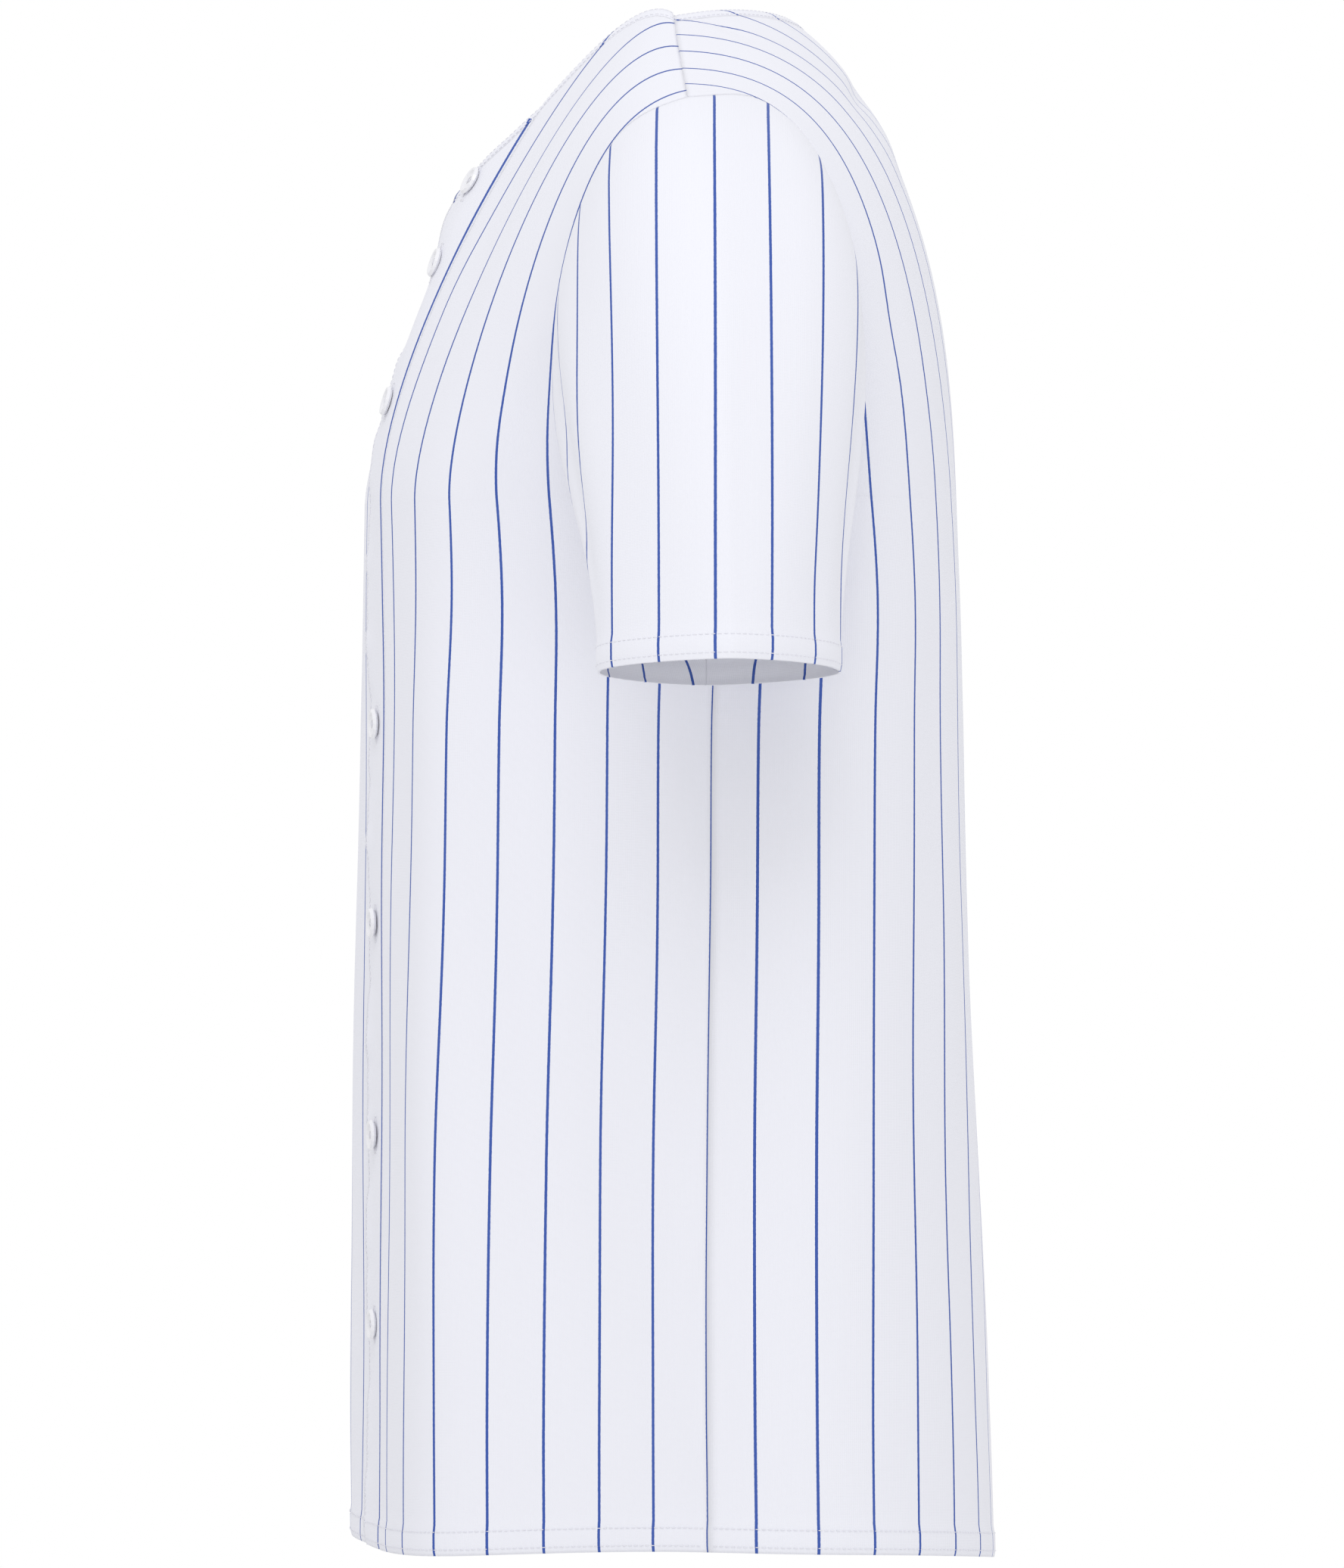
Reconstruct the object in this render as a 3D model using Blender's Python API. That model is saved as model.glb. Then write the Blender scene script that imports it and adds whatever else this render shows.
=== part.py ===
"""A short-sleeved baseball jersey with a full button front, in the pose of a worn garment with no wearer.

Metres, +Z up, the front faces -Y and the wearer's left is +X. The origin lies between the two
shoulder points at the neck, where the wearer's shoulders hold the garment up.

Every panel is a cloth wall laid over one garment form. Below the armholes that form is a stack of
horizontal sections. Above them each lengthwise grain line of the cloth runs up a Bezier curve to
the shoulder ridge. A place on a panel is (across, up): the distance across the cloth from the
centre line, and the height step, below 0 in the tube of the body and 0 to 1 from armhole to ridge.
"""
import math

import bmesh
import bpy
import numpy as np
from mathutils import Matrix, Vector

# Driving sizes, in metres
WALL = 0.0018              # thickness of one cloth wall
SEAM_HALF_GAP = 0.00018    # each piece stops this short of its seam line
LAP_LIFT = 0.0026          # the wearer's left front lies this far out over the right one
PLACKET_HALF = 0.0165      # half the width of the button band
UNDERARM_Z = -0.250
FRONT_QUARTER = 0.245      # cloth from the centre front line to the side seam
BODY_TURN = math.radians(6.1)     # the body hangs turned a little to the wearer's left
TURN_START_Z = -0.330
HEM_BACK_DROP = 0.008

# Body sections from hem to armhole: z, then the centre front, the front corner, the flank, the
# side, the rear corner and the centre back, all for the wearer's left half
SECTION_COLUMNS = ("z", "front_y", "corner_x", "corner_y", "flank_x", "flank_y",
                   "side_x", "side_y", "rear_x", "rear_y", "back_y")
SECTIONS = (
    (-0.790, -0.150, 0.092, -0.142, 0.137, -0.080, 0.200, 0.014, 0.164, 0.107, 0.160),
    (-0.700, -0.149, 0.091, -0.143, 0.137, -0.080, 0.202, 0.014, 0.164, 0.106, 0.156),
    (-0.570, -0.149, 0.092, -0.141, 0.136, -0.081, 0.207, 0.016, 0.166, 0.102, 0.149),
    (-0.455, -0.149, 0.091, -0.138, 0.134, -0.082, 0.210, 0.017, 0.168, 0.100, 0.142),
    (-0.360, -0.148, 0.090, -0.137, 0.134, -0.082, 0.213, 0.020, 0.169, 0.099, 0.138),
    (-0.295, -0.149, 0.088, -0.135, 0.137, -0.081, 0.214, 0.029, 0.168, 0.099, 0.138),
    (-0.225, -0.149, 0.088, -0.135, 0.141, -0.081, 0.210, 0.030, 0.166, 0.098, 0.138),
)

# Shoulder ridge, a straight line seen from the front
NECK_POINT_X = 0.075
RIDGE_NECK_Y = -0.0022
RIDGE_NECK_Z = -0.006
RIDGE_SLOPE = 0.447
RIDGE_TURN = 0.057         # the ridge runs forward by this for each metre to the wearer's left
RIDGE_ROUND = 0.030
RIDGE_NORMAL_START = 0.88  # height step from which the two panels come to share the ridge normal
TIP_FRONT = 0.165          # cloth from the centre front line to the shoulder tip
TIP_BACK = 0.254
BACK_RIDGE_SCALE = 0.736
FRONT_RIDGE_STEP = 0.022

# Armholes, as cloth left between the centre line and the armhole edge
ARMHOLE_FRONT = 0.157
ARMHOLE_BACK = 0.229
ARMHOLE_CURVE_TOP = 0.50   # height step where the curve under the arm has run out
ARMHOLE_TIP_START = 0.80

# Chest lines: how the front rounds forward at the centre, and how each line leaves the body tube
CENTRE_ROUND = 0.006
CENTRE_FADE = 0.020
TANGENT_STEP = 0.03
BACK_RISE = 0.130

# Edges of the neckline and of its band: the height step at the lowest point, the cloth between the
# centre line and the edge at the shoulder seam, and the power by which the edge climbs to it
FRONT_NECK = (0.480, 0.053, 1.75)
FRONT_BAND = (0.456, 0.0627, 1.55)
BACK_NECK = (0.775, 0.102, 1.73)
BACK_BAND = (0.745, 0.114, 1.73)

# The top corner of the left front stands off the right one above its last buttoned stretch
FLARE = 0.0105
FLARE_POWER = 1.6
FLARE_LOW_Z = -0.145
FLARE_HIGH_Z = -0.105

# Sleeve cuff: an oval ring hung just clear of the body
CUFF_CENTRE = (0.2715, -0.008, -0.337)
CUFF_HALF_OUT = 0.052
CUFF_HALF_DEEP = 0.059
CUFF_POWER = 1.4           # 1 is an ellipse and 2 a diamond
CUFF_TILT = 0.006          # the outer lip is this far above the middle, the inner lip as far below
SLEEVE_START_GAP = 0.0006

# Buttons, by their height on the button band
BUTTON_HEIGHTS = (-0.089, -0.129, -0.1985, -0.3605, -0.461, -0.568, -0.6635)
BUTTON_RADIUS = 0.0078
BUTTON_THICK = 0.0028
BUTTON_GAP = 0.0006

# Mesh steps
BODY_ROWS = 12
UNDERARM_STEPS = (0.0, 0.006, 0.02, 0.05, 0.10, 0.16, 0.23, 0.32)
CHEST_START = UNDERARM_STEPS[-1]
CHEST_ROWS = 8
NECK_COLUMNS = 5
FRONT_SHOULDER_COLUMNS = 8
BACK_SHOULDER_COLUMNS = 6
SLEEVE_STEPS = (0.0, 0.04, 0.12, 0.24, 0.38, 0.54, 0.70, 0.85, 0.95, 1.0)
SPLINE_SAMPLES = 360

CLOTH_COLOUR = (0.86, 0.86, 0.90, 1.0)
BUTTON_COLOUR = (0.88, 0.88, 0.90, 1.0)


def clear_scene():
    for item in list(bpy.data.objects):
        bpy.data.objects.remove(item)


def smooth_step(low, high, value):
    part = min(max((value - low) / (high - low), 0.0), 1.0)
    return part * part * (3.0 - 2.0 * part)


def closed_spline(points, samples):
    """A smooth closed curve through the points, as evenly numbered samples from the first one."""
    knots = np.array(points, dtype=float)
    count = len(knots)
    step = np.linalg.norm(np.roll(knots, -1, axis=0) - knots, axis=1) ** 0.7
    matrix = np.zeros((count, count))
    right = np.zeros((count, 2))
    for k in range(count):
        before, after = (k - 1) % count, (k + 1) % count
        matrix[k, before] = step[before]
        matrix[k, k] = 2.0 * (step[before] + step[k])
        matrix[k, after] = step[k]
        right[k] = 6.0 * ((knots[after] - knots[k]) / step[k] - (knots[k] - knots[before]) / step[before])
    bend = np.linalg.solve(matrix, right)
    starts = np.concatenate(([0.0], np.cumsum(step)))
    out = []
    for place in np.linspace(0.0, starts[-1], samples + 1):
        k = min(int(np.searchsorted(starts, place, side="right")) - 1, count - 1)
        after = (k + 1) % count
        t = place - starts[k]
        h = step[k]
        a, b = (h - t) / h, t / h
        curve = a * knots[k] + b * knots[after]
        curve += ((a ** 3 - a) * bend[k] + (b ** 3 - b) * bend[after]) * h * h / 6.0
        out.append(curve)
    return np.array(out)


def section_sizes(z):
    """The section's named sizes at a height, blended smoothly between the rows of the table."""
    table = np.array(SECTIONS)[::-1]
    heights = table[:, 0][::-1]
    rows = table[::-1]
    k = int(np.clip(np.searchsorted(heights, z) - 1, 0, len(heights) - 2))
    t = np.clip((z - heights[k]) / (heights[k + 1] - heights[k]), 0.0, 1.0)
    first, last = rows[k], rows[k + 1]
    low = rows[max(k - 1, 0)]
    high = rows[min(k + 2, len(rows) - 1)]
    blend = 0.5 * (2.0 * first + (last - low) * t + (2.0 * low - 5.0 * first + 4.0 * last - high) * t ** 2
                   + (3.0 * first - low - 3.0 * last + high) * t ** 3)
    return dict(zip(SECTION_COLUMNS, blend))


SECTION_CACHE = {}


def section(z):
    """Points of the closed section at a height, with the cloth run from the centre front to each."""
    key = round(z, 6)
    if key not in SECTION_CACHE:
        size = section_sizes(z)
        half = [(size["corner_x"], size["corner_y"]), (size["flank_x"], size["flank_y"]),
                (size["side_x"], size["side_y"]), (size["rear_x"], size["rear_y"])]
        mirror = [(-x, y) for x, y in reversed(half)]
        knots = [(0.0, size["front_y"])] + half + [(0.0, size["back_y"])] + mirror
        curve = closed_spline(knots, SPLINE_SAMPLES)
        run = np.concatenate(([0.0], np.cumsum(np.linalg.norm(np.diff(curve, axis=0), axis=1))))
        SECTION_CACHE[key] = (curve, run)
    return SECTION_CACHE[key]


def turned(x, y, z):
    """Turn a point of the body about the upright axis, by more the lower it hangs."""
    angle = BODY_TURN * (1.0 - smooth_step(TURN_START_Z, 0.0, z))
    return Vector((x * math.cos(angle) - y * math.sin(angle), x * math.sin(angle) + y * math.cos(angle), z))


def body_point(run_from_front, z):
    """The point of the body tube a run of cloth away from the centre front, to the wearer's left."""
    curve, run = section(z)
    place = run_from_front % run[-1]
    return turned(float(np.interp(place, run, curve[:, 0])), float(np.interp(place, run, curve[:, 1])), z)


def half_round(z):
    return section(z)[1][-1] / 2.0


def ridge_point(x):
    reach = math.hypot(x, RIDGE_ROUND) - math.hypot(NECK_POINT_X, RIDGE_ROUND)
    return Vector((x, RIDGE_NECK_Y - RIDGE_TURN * x, RIDGE_NECK_Z - RIDGE_SLOPE * reach))


def bezier(start, first, second, end, t):
    s = 1.0 - t
    return start * s ** 3 + first * (3.0 * s * s * t) + second * (3.0 * s * t * t) + end * t ** 3


def tube_lean(start, run):
    """How a line of the body tube leans where it reaches the chest, for each metre of height."""
    return (start - body_point(run, UNDERARM_Z - TANGENT_STEP)) / TANGENT_STEP


def front_line(across, step):
    """The front's grain line, a distance across from the centre front, at a height step."""
    side = 1.0 if across >= 0.0 else -1.0
    cloth = abs(across)
    start = body_point(across, UNDERARM_Z)
    end = ridge_point(side * (cloth + FRONT_RIDGE_STEP * (1.0 - math.exp(-cloth / FRONT_RIDGE_STEP))))
    share = min(cloth / ARMHOLE_FRONT, 1.05)
    near_centre = math.exp((CENTRE_ROUND - math.hypot(across, CENTRE_ROUND)) / CENTRE_FADE)
    rise = 0.085 - 0.045 * share
    reach = 0.126 * share - 0.044 * share ** 2 - 0.009 + 0.054 * near_centre
    drop = 0.028 * share ** 3 - 0.012 + 0.012 * near_centre
    first = start + tube_lean(start, across) * rise
    second = end - Vector((0.0, reach, drop))
    return bezier(start, first, second, end, step)


def back_run(across, z):
    """Cloth from the centre front to a grain line of the back, at a height of the body tube."""
    share = across / (half_round(UNDERARM_Z) - FRONT_QUARTER)
    return half_round(z) - share * (half_round(z) - FRONT_QUARTER)


def back_line(across, step):
    """The back's grain line, a distance across from the centre back, at a height step."""
    start = body_point(back_run(across, UNDERARM_Z), UNDERARM_Z)
    end = ridge_point(across * BACK_RIDGE_SCALE)
    share = min(abs(across) / ARMHOLE_BACK, 1.3)
    first = start + tube_lean(start, back_run(across, UNDERARM_Z - TANGENT_STEP)) * BACK_RISE
    second = end + Vector((0.0, 0.120 - 0.040 * share ** 1.5, -0.003 + 0.003 * share))
    return bezier(start, first, second, end, step)


def armhole_edge(mid, underarm, tip, step):
    """Cloth left between the centre line and the armhole at a height step."""
    edge = mid
    if step < ARMHOLE_CURVE_TOP:
        left = 1.0 - step / ARMHOLE_CURVE_TOP
        edge += (underarm - mid) * (1.0 - math.sqrt(max(1.0 - left * left, 0.0)))
    return edge + (tip - mid) * smooth_step(ARMHOLE_TIP_START, 1.0, step)


def front_neck_height(across, low_step, shoulder_cloth, power):
    """Height step of a front neckline curve, which climbs from the free edge to the shoulder seam."""
    share = (across + PLACKET_HALF) / (shoulder_cloth + PLACKET_HALF)
    return low_step + (1.0 - low_step) * min(max(share, 0.0), 1.0) ** power


def back_neck_height(across, low_step, shoulder_cloth, power):
    share = min(abs(across) / shoulder_cloth, 1.0)
    return low_step + (1.0 - low_step) * share ** power


def lap_lift(across, z):
    """How far the wearer's left front lies out from the form, to lap over the right one."""
    lap = LAP_LIFT * (1.0 - smooth_step(PLACKET_HALF, 0.070, across))
    from_seam = max(PLACKET_HALF - across, 0.0) / (2.0 * PLACKET_HALF)
    return lap + FLARE * from_seam ** FLARE_POWER * smooth_step(FLARE_LOW_Z, FLARE_HIGH_Z, z)


def hem_height(run_share):
    """Height of the hem edge; run_share is 0 at the centre front and 1 at the centre back."""
    side_rise = 0.010 * math.sin(math.pi * min(run_share / 1.05, 1.0)) ** 2
    return -0.776 + side_rise - HEM_BACK_DROP * smooth_step(0.35, 1.0, run_share)


def row_levels():
    """Height steps of the rows from the hem, at -1, through the underarm, at 0, to the chest."""
    tube = [-1.0 + k / BODY_ROWS for k in range(BODY_ROWS)]
    return tube + list(UNDERARM_STEPS)


def tube_height(step, run_share):
    low = hem_height(run_share)
    return low + (UNDERARM_Z - low) * (1.0 + step)


def panel_grid(inner, corner, neck_columns, shoulder_columns, top_step, outer_edge):
    """Rows of places of a panel, from its inner edge over the corner of the neck to its outer edge."""
    neck = [inner + (corner - inner) * k / neck_columns for k in range(neck_columns + 1)]
    shoulder = [(k + 1) / shoulder_columns for k in range(shoulder_columns)]
    levels = [(step, None) for step in row_levels()]
    levels += [(None, (k + 1) / CHEST_ROWS) for k in range(CHEST_ROWS)]
    rows = []
    for level, share in levels:
        row = []
        for across in neck:
            step = level if share is None else CHEST_START + (top_step(across) - CHEST_START) * share
            row.append((across, step))
        step = level if share is None else CHEST_START + (1.0 - CHEST_START) * share
        row += [(corner + part * (outer_edge(step) - corner), step) for part in shoulder]
        rows.append(row)
    return rows


def form_normal(place, across, step, outward):
    """Outward unit normal of the form. At the shoulder ridge both panels share one upright normal."""
    near_cloth, near_step = 0.002, 0.004
    sideways = place(across + near_cloth, step) - place(across - near_cloth, step)
    upward = place(across, step + near_step) - place(across, step - near_step)
    normal = sideways.cross(upward).normalized() * outward
    ridge_side = 1.0 if place(across, step).x >= 0.0 else -1.0
    ridge = Vector((ridge_side * RIDGE_SLOPE, 0.0, 1.0)).normalized()
    share = smooth_step(RIDGE_NORMAL_START, 1.0, step)
    return (normal * (1.0 - share) + ridge * share).normalized()


def laid_out(rows, place, outward, lift_of):
    """Points of the outer face and unit normals for rows of places on the form."""
    normals = [[form_normal(place, across, step, outward) for across, step in row] for row in rows]
    points = [[lifted(place, across, step, normal, lift_of) for (across, step), normal in zip(row, line)]
              for row, line in zip(rows, normals)]
    return points, normals


def lifted(place, across, step, normal, lift_of):
    point = place(across, step)
    return point + normal * lift_of(across, point.z)


def cloth_wall(name, outer, inner, material, closed=False, flip=False):
    """Close a cloth wall between a grid of points of its outer face and one of its inner face."""
    count_rows, count_columns = len(outer), len(outer[0])
    mesh = bmesh.new()
    faces = [[[mesh.verts.new(p) for p in row] for row in side] for side in (outer, inner)]
    spans = count_columns if closed else count_columns - 1
    for side, turn in ((faces[0], not flip), (faces[1], flip)):
        for i in range(count_rows - 1):
            for k in range(spans):
                n = (k + 1) % count_columns
                corners = [side[i][k], side[i][n], side[i + 1][n], side[i + 1][k]]
                mesh.faces.new(corners if turn else corners[::-1])
    border = [(0, k) for k in range(count_columns)]
    if closed:
        loops = [border, [(count_rows - 1, k) for k in reversed(range(count_columns))]]
    else:
        border += [(i, count_columns - 1) for i in range(1, count_rows)]
        border += [(count_rows - 1, k) for k in reversed(range(count_columns - 1))]
        border += [(i, 0) for i in reversed(range(1, count_rows - 1))]
        loops = [border]
    for loop in loops:
        for here, there in zip(loop, loop[1:] + loop[:1]):
            corners = [faces[1][here[0]][here[1]], faces[1][there[0]][there[1]],
                       faces[0][there[0]][there[1]], faces[0][here[0]][here[1]]]
            mesh.faces.new(corners if not flip else corners[::-1])
    return finish_object(name, mesh, material)


def panel_wall(name, rows, place, outward, lift_of, material, neck_row=None, flip=False):
    """A wall on the form; neck_row gives the way to the neckband for each column of the top row."""
    outer, normals = laid_out(rows, place, outward, lift_of)
    if neck_row is not None:
        outer[-1] = [point - way * SEAM_HALF_GAP for point, way in zip(outer[-1], neck_row)]
    inner = [[point - normal * WALL for point, normal in zip(*pair)] for pair in zip(outer, normals)]
    return cloth_wall(name, outer, inner, material, flip=flip)


def finish_object(name, mesh, material):
    bmesh.ops.triangulate(mesh, faces=mesh.faces[:], quad_method="SHORT_EDGE")
    data = bpy.data.meshes.new(name)
    mesh.to_mesh(data)
    mesh.free()
    data.materials.append(material)
    data.shade_smooth()
    data.set_sharp_from_angle(angle=math.radians(50.0))
    item = bpy.data.objects.new(name, data)
    bpy.context.scene.collection.objects.link(item)
    item.parent = bpy.data.objects["jersey"]
    return item


def plain_material(name, colour, roughness):
    material = bpy.data.materials.new(name)
    material.use_nodes = True
    shader = material.node_tree.nodes["Principled BSDF"]
    shader.inputs["Base Color"].default_value = colour
    shader.inputs["Roughness"].default_value = roughness
    shader.inputs["Metallic"].default_value = 0.0
    material.diffuse_color = colour
    return material


def front_place(side):
    """The point of a front for cloth across from the centre front line and a height step."""
    def point_of(across, step):
        if step < 0.0:
            return body_point(side * across, tube_height(step, abs(across) / half_round(UNDERARM_Z)))
        return front_line(side * across, step)
    return point_of


def back_place(across, step):
    if step < 0.0:
        z = tube_height(step, 1.0 - abs(across) / half_round(UNDERARM_Z))
        return body_point(back_run(across, z), z)
    return back_line(across, step)


def front_edge(step):
    return armhole_edge(ARMHOLE_FRONT, FRONT_QUARTER, TIP_FRONT, max(step, 0.0)) - SEAM_HALF_GAP


def back_edge(step):
    underarm = half_round(UNDERARM_Z) - FRONT_QUARTER
    return armhole_edge(ARMHOLE_BACK, underarm, TIP_BACK, max(step, 0.0)) - SEAM_HALF_GAP


def no_lift(_across, _z):
    return 0.0


def front_neck_places(across_share):
    """Places of the outer and the inner edge of the neckband at a share of the front neckline."""
    places = []
    for edge in (FRONT_BAND, FRONT_NECK):
        across = -PLACKET_HALF + across_share * (edge[1] + PLACKET_HALF)
        places.append((across, front_neck_height(across, *edge)))
    return places


def back_neck_places(across_share):
    return [(across_share * edge[1], back_neck_height(across_share * edge[1], *edge))
            for edge in (BACK_BAND, BACK_NECK)]


def way_to_neck(place, pair):
    """Unit direction from the outer edge of the neckband to its inner edge."""
    return (place(*pair[1]) - place(*pair[0])).normalized()


def shoulder_way(place, across):
    return (place(across, 1.0) - place(across, 0.97)).normalized()


def front_panel(name, side, material):
    inner = PLACKET_HALF + SEAM_HALF_GAP
    place = front_place(side)

    def top_step(across):
        return front_neck_height(across, *FRONT_BAND)

    rows = panel_grid(inner, FRONT_BAND[1], NECK_COLUMNS, FRONT_SHOULDER_COLUMNS, top_step, front_edge)
    neck_row = []
    for k, (across, _) in enumerate(rows[-1]):
        if k <= NECK_COLUMNS:
            share = (across + PLACKET_HALF) / (FRONT_BAND[1] + PLACKET_HALF)
            neck_row.append(way_to_neck(place, front_neck_places(share)))
        else:
            neck_row.append(shoulder_way(place, across))
    neck_row[NECK_COLUMNS] = neck_row[NECK_COLUMNS] + neck_row[NECK_COLUMNS + 1]
    lift_of = lap_lift if side > 0.0 else no_lift
    return panel_wall(name, rows, place, side, lift_of, material, neck_row, flip=side < 0.0)


def back_panel(name, material):

    def top_step(across):
        return back_neck_height(across, *BACK_BAND)

    half = panel_grid(0.0, BACK_BAND[1], NECK_COLUMNS, BACK_SHOULDER_COLUMNS, top_step, back_edge)
    rows = [[(-across, step) for across, step in reversed(row[1:])] + row for row in half]
    neck_row = []
    for across, _ in half[-1]:
        if len(neck_row) <= NECK_COLUMNS:
            neck_row.append(way_to_neck(back_place, back_neck_places(across / BACK_BAND[1])))
        else:
            neck_row.append(shoulder_way(back_place, across))
    neck_row[NECK_COLUMNS] = neck_row[NECK_COLUMNS] + neck_row[NECK_COLUMNS + 1]
    mirrored = [Vector((-way.x, way.y, way.z)) for way in reversed(neck_row[1:])]
    return panel_wall(name, rows, back_place, -1.0, no_lift, material, mirrored + neck_row, flip=True)


def placket(name, side, material):
    """The button band of one front, from its free edge to its seam."""
    widths = [-PLACKET_HALF, -PLACKET_HALF / 2.0, 0.0, PLACKET_HALF / 2.0, PLACKET_HALF - SEAM_HALF_GAP]
    place = front_place(side)
    rows = [[(width, step) for width in widths] for step in row_levels()]
    top_rows = 4
    tops = [front_neck_height(width, *FRONT_BAND) for width in widths]
    for k in range(1, top_rows + 1):
        share = k / top_rows
        rows.append([(width, CHEST_START + (top - CHEST_START) * share)
                     for width, top in zip(widths, tops)])
    neck_row = []
    for width in widths:
        share = (width + PLACKET_HALF) / (FRONT_BAND[1] + PLACKET_HALF)
        neck_row.append(way_to_neck(place, front_neck_places(share)))
    lift_of = lap_lift if side > 0.0 else no_lift
    return panel_wall(name, rows, place, side, lift_of, material, neck_row, flip=side < 0.0)


def neckband(name, material):
    """The narrow band round the neck, from the free edge of one front to that of the other."""
    inner_start = PLACKET_HALF + SEAM_HALF_GAP
    clothes = [-PLACKET_HALF, -PLACKET_HALF / 2.0, 0.0, PLACKET_HALF / 2.0]
    clothes += [inner_start + (FRONT_BAND[1] - inner_start) * k / NECK_COLUMNS for k in range(NECK_COLUMNS + 1)]
    front_shares = [(cloth + PLACKET_HALF) / (FRONT_BAND[1] + PLACKET_HALF) for cloth in clothes]
    back_shares = [k / NECK_COLUMNS for k in range(-NECK_COLUMNS + 1, NECK_COLUMNS)]
    run = [(front_place(-1.0), -1.0, front_neck_places(share), no_lift) for share in front_shares]
    run += [(back_place, -1.0, back_neck_places(share), no_lift) for share in back_shares]
    run += [(front_place(1.0), 1.0, front_neck_places(share), lap_lift) for share in reversed(front_shares)]
    outer, inner = [], []
    for place, outward, pair, lift_of in run:
        way = way_to_neck(place, pair)
        row = []
        normals = []
        for across, step in pair:
            normal = form_normal(place, across, step, outward)
            row.append(lifted(place, across, step, normal, lift_of))
            normals.append(normal)
        row[0] = row[0] + way * SEAM_HALF_GAP
        outer.append(row)
        inner.append([point - normal * WALL for point, normal in zip(row, normals)])
    return cloth_wall(name, outer, inner, material)


def armhole_ring(side):
    """Round one armhole seam, from the shoulder tip down the front and up the back: each point with
    the form's normal there and the way out across the cloth's edge."""
    steps = list(UNDERARM_STEPS)
    steps += [CHEST_START + (1.0 - CHEST_START) * k / CHEST_ROWS for k in range(1, CHEST_ROWS + 1)]
    ring = []
    for step in reversed(steps):
        ring.append((front_place(side), front_edge(step) + SEAM_HALF_GAP, step, side))
    for step in steps[1:-1]:
        ring.append((back_place, side * (back_edge(step) + SEAM_HALF_GAP), step, -1.0))
    points = [place(across, step) for place, across, step, _ in ring]
    out = []
    for k, (place, across, step, outward) in enumerate(ring):
        normal = form_normal(place, across, step, outward)
        along = points[(k + 1) % len(points)] - points[k - 1]
        out.append((points[k], normal, normal.cross(along).normalized() * side))
    return out


def powered(value):
    return math.copysign(abs(value) ** CUFF_POWER, value)


def cuff_point(side, angle):
    """A point of the cuff's edge; the angle is 0 at the outer lip and goes round by the front."""
    return Vector((side * (CUFF_CENTRE[0] + CUFF_HALF_OUT * powered(math.cos(angle))),
                   CUFF_CENTRE[1] - CUFF_HALF_DEEP * powered(math.sin(angle)),
                   CUFF_CENTRE[2] + CUFF_TILT * math.cos(angle)))


def sleeve(name, side, material):
    """A sleeve hung from its armhole to an oval cuff."""
    ring = armhole_ring(side)
    points = [point for point, _, _ in ring]
    run = [0.0]
    for here, there in zip(points, points[1:] + points[:1]):
        run.append(run[-1] + (there - here).length)
    front_count = len(UNDERARM_STEPS) + CHEST_ROWS
    half_run = run[front_count - 1]
    rows = [[] for _ in SLEEVE_STEPS]
    for k, (start, normal, way) in enumerate(ring):
        if k < front_count:
            angle = math.pi * run[k] / half_run
        else:
            angle = math.pi * (1.0 + (run[k] - half_run) / (run[-1] - half_run))
        top = (1.0 + math.cos(angle)) / 2.0
        leave = Vector((side * (0.50 + 0.42 * top), -0.22 * math.sin(angle), -0.86 + 0.42 * top)).normalized()
        begin = start + way * SLEEVE_START_GAP * (1.0 + 2.0 * top) + normal * SLEEVE_START_GAP
        end = cuff_point(side, angle)
        hang = Vector((side * 0.10, 0.0, -0.995))
        length = (end - begin).length
        first = begin + leave * length * (0.30 + 0.10 * top)
        second = end - hang * length * 0.35
        for row, step in zip(rows, SLEEVE_STEPS):
            row.append(bezier(begin, first, second, end, step))
    inner = inner_face(rows, side)
    for k, (start, normal, way) in enumerate(ring):
        reach = (inner[0][k] - start).dot(way)
        outside = (inner[0][k] - start).dot(normal)
        if outside < SLEEVE_START_GAP and reach < SLEEVE_START_GAP:
            inner[0][k] = inner[0][k] + way * (SLEEVE_START_GAP - reach)
    return cloth_wall(name, rows, inner, material, closed=True, flip=side < 0.0)


def inner_face(rows, side):
    """The inner face of a tube of cloth, one wall in from rows of points round its outer face."""
    count_rows, count = len(rows), len(rows[0])
    inner = []
    for i, row in enumerate(rows):
        line = []
        for k, point in enumerate(row):
            along = rows[min(i + 1, count_rows - 1)][k] - rows[max(i - 1, 0)][k]
            around = row[(k + 1) % count] - row[k - 1]
            normal = around.cross(along).normalized() * side
            line.append(point - normal * WALL)
        inner.append(line)
    return inner


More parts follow.
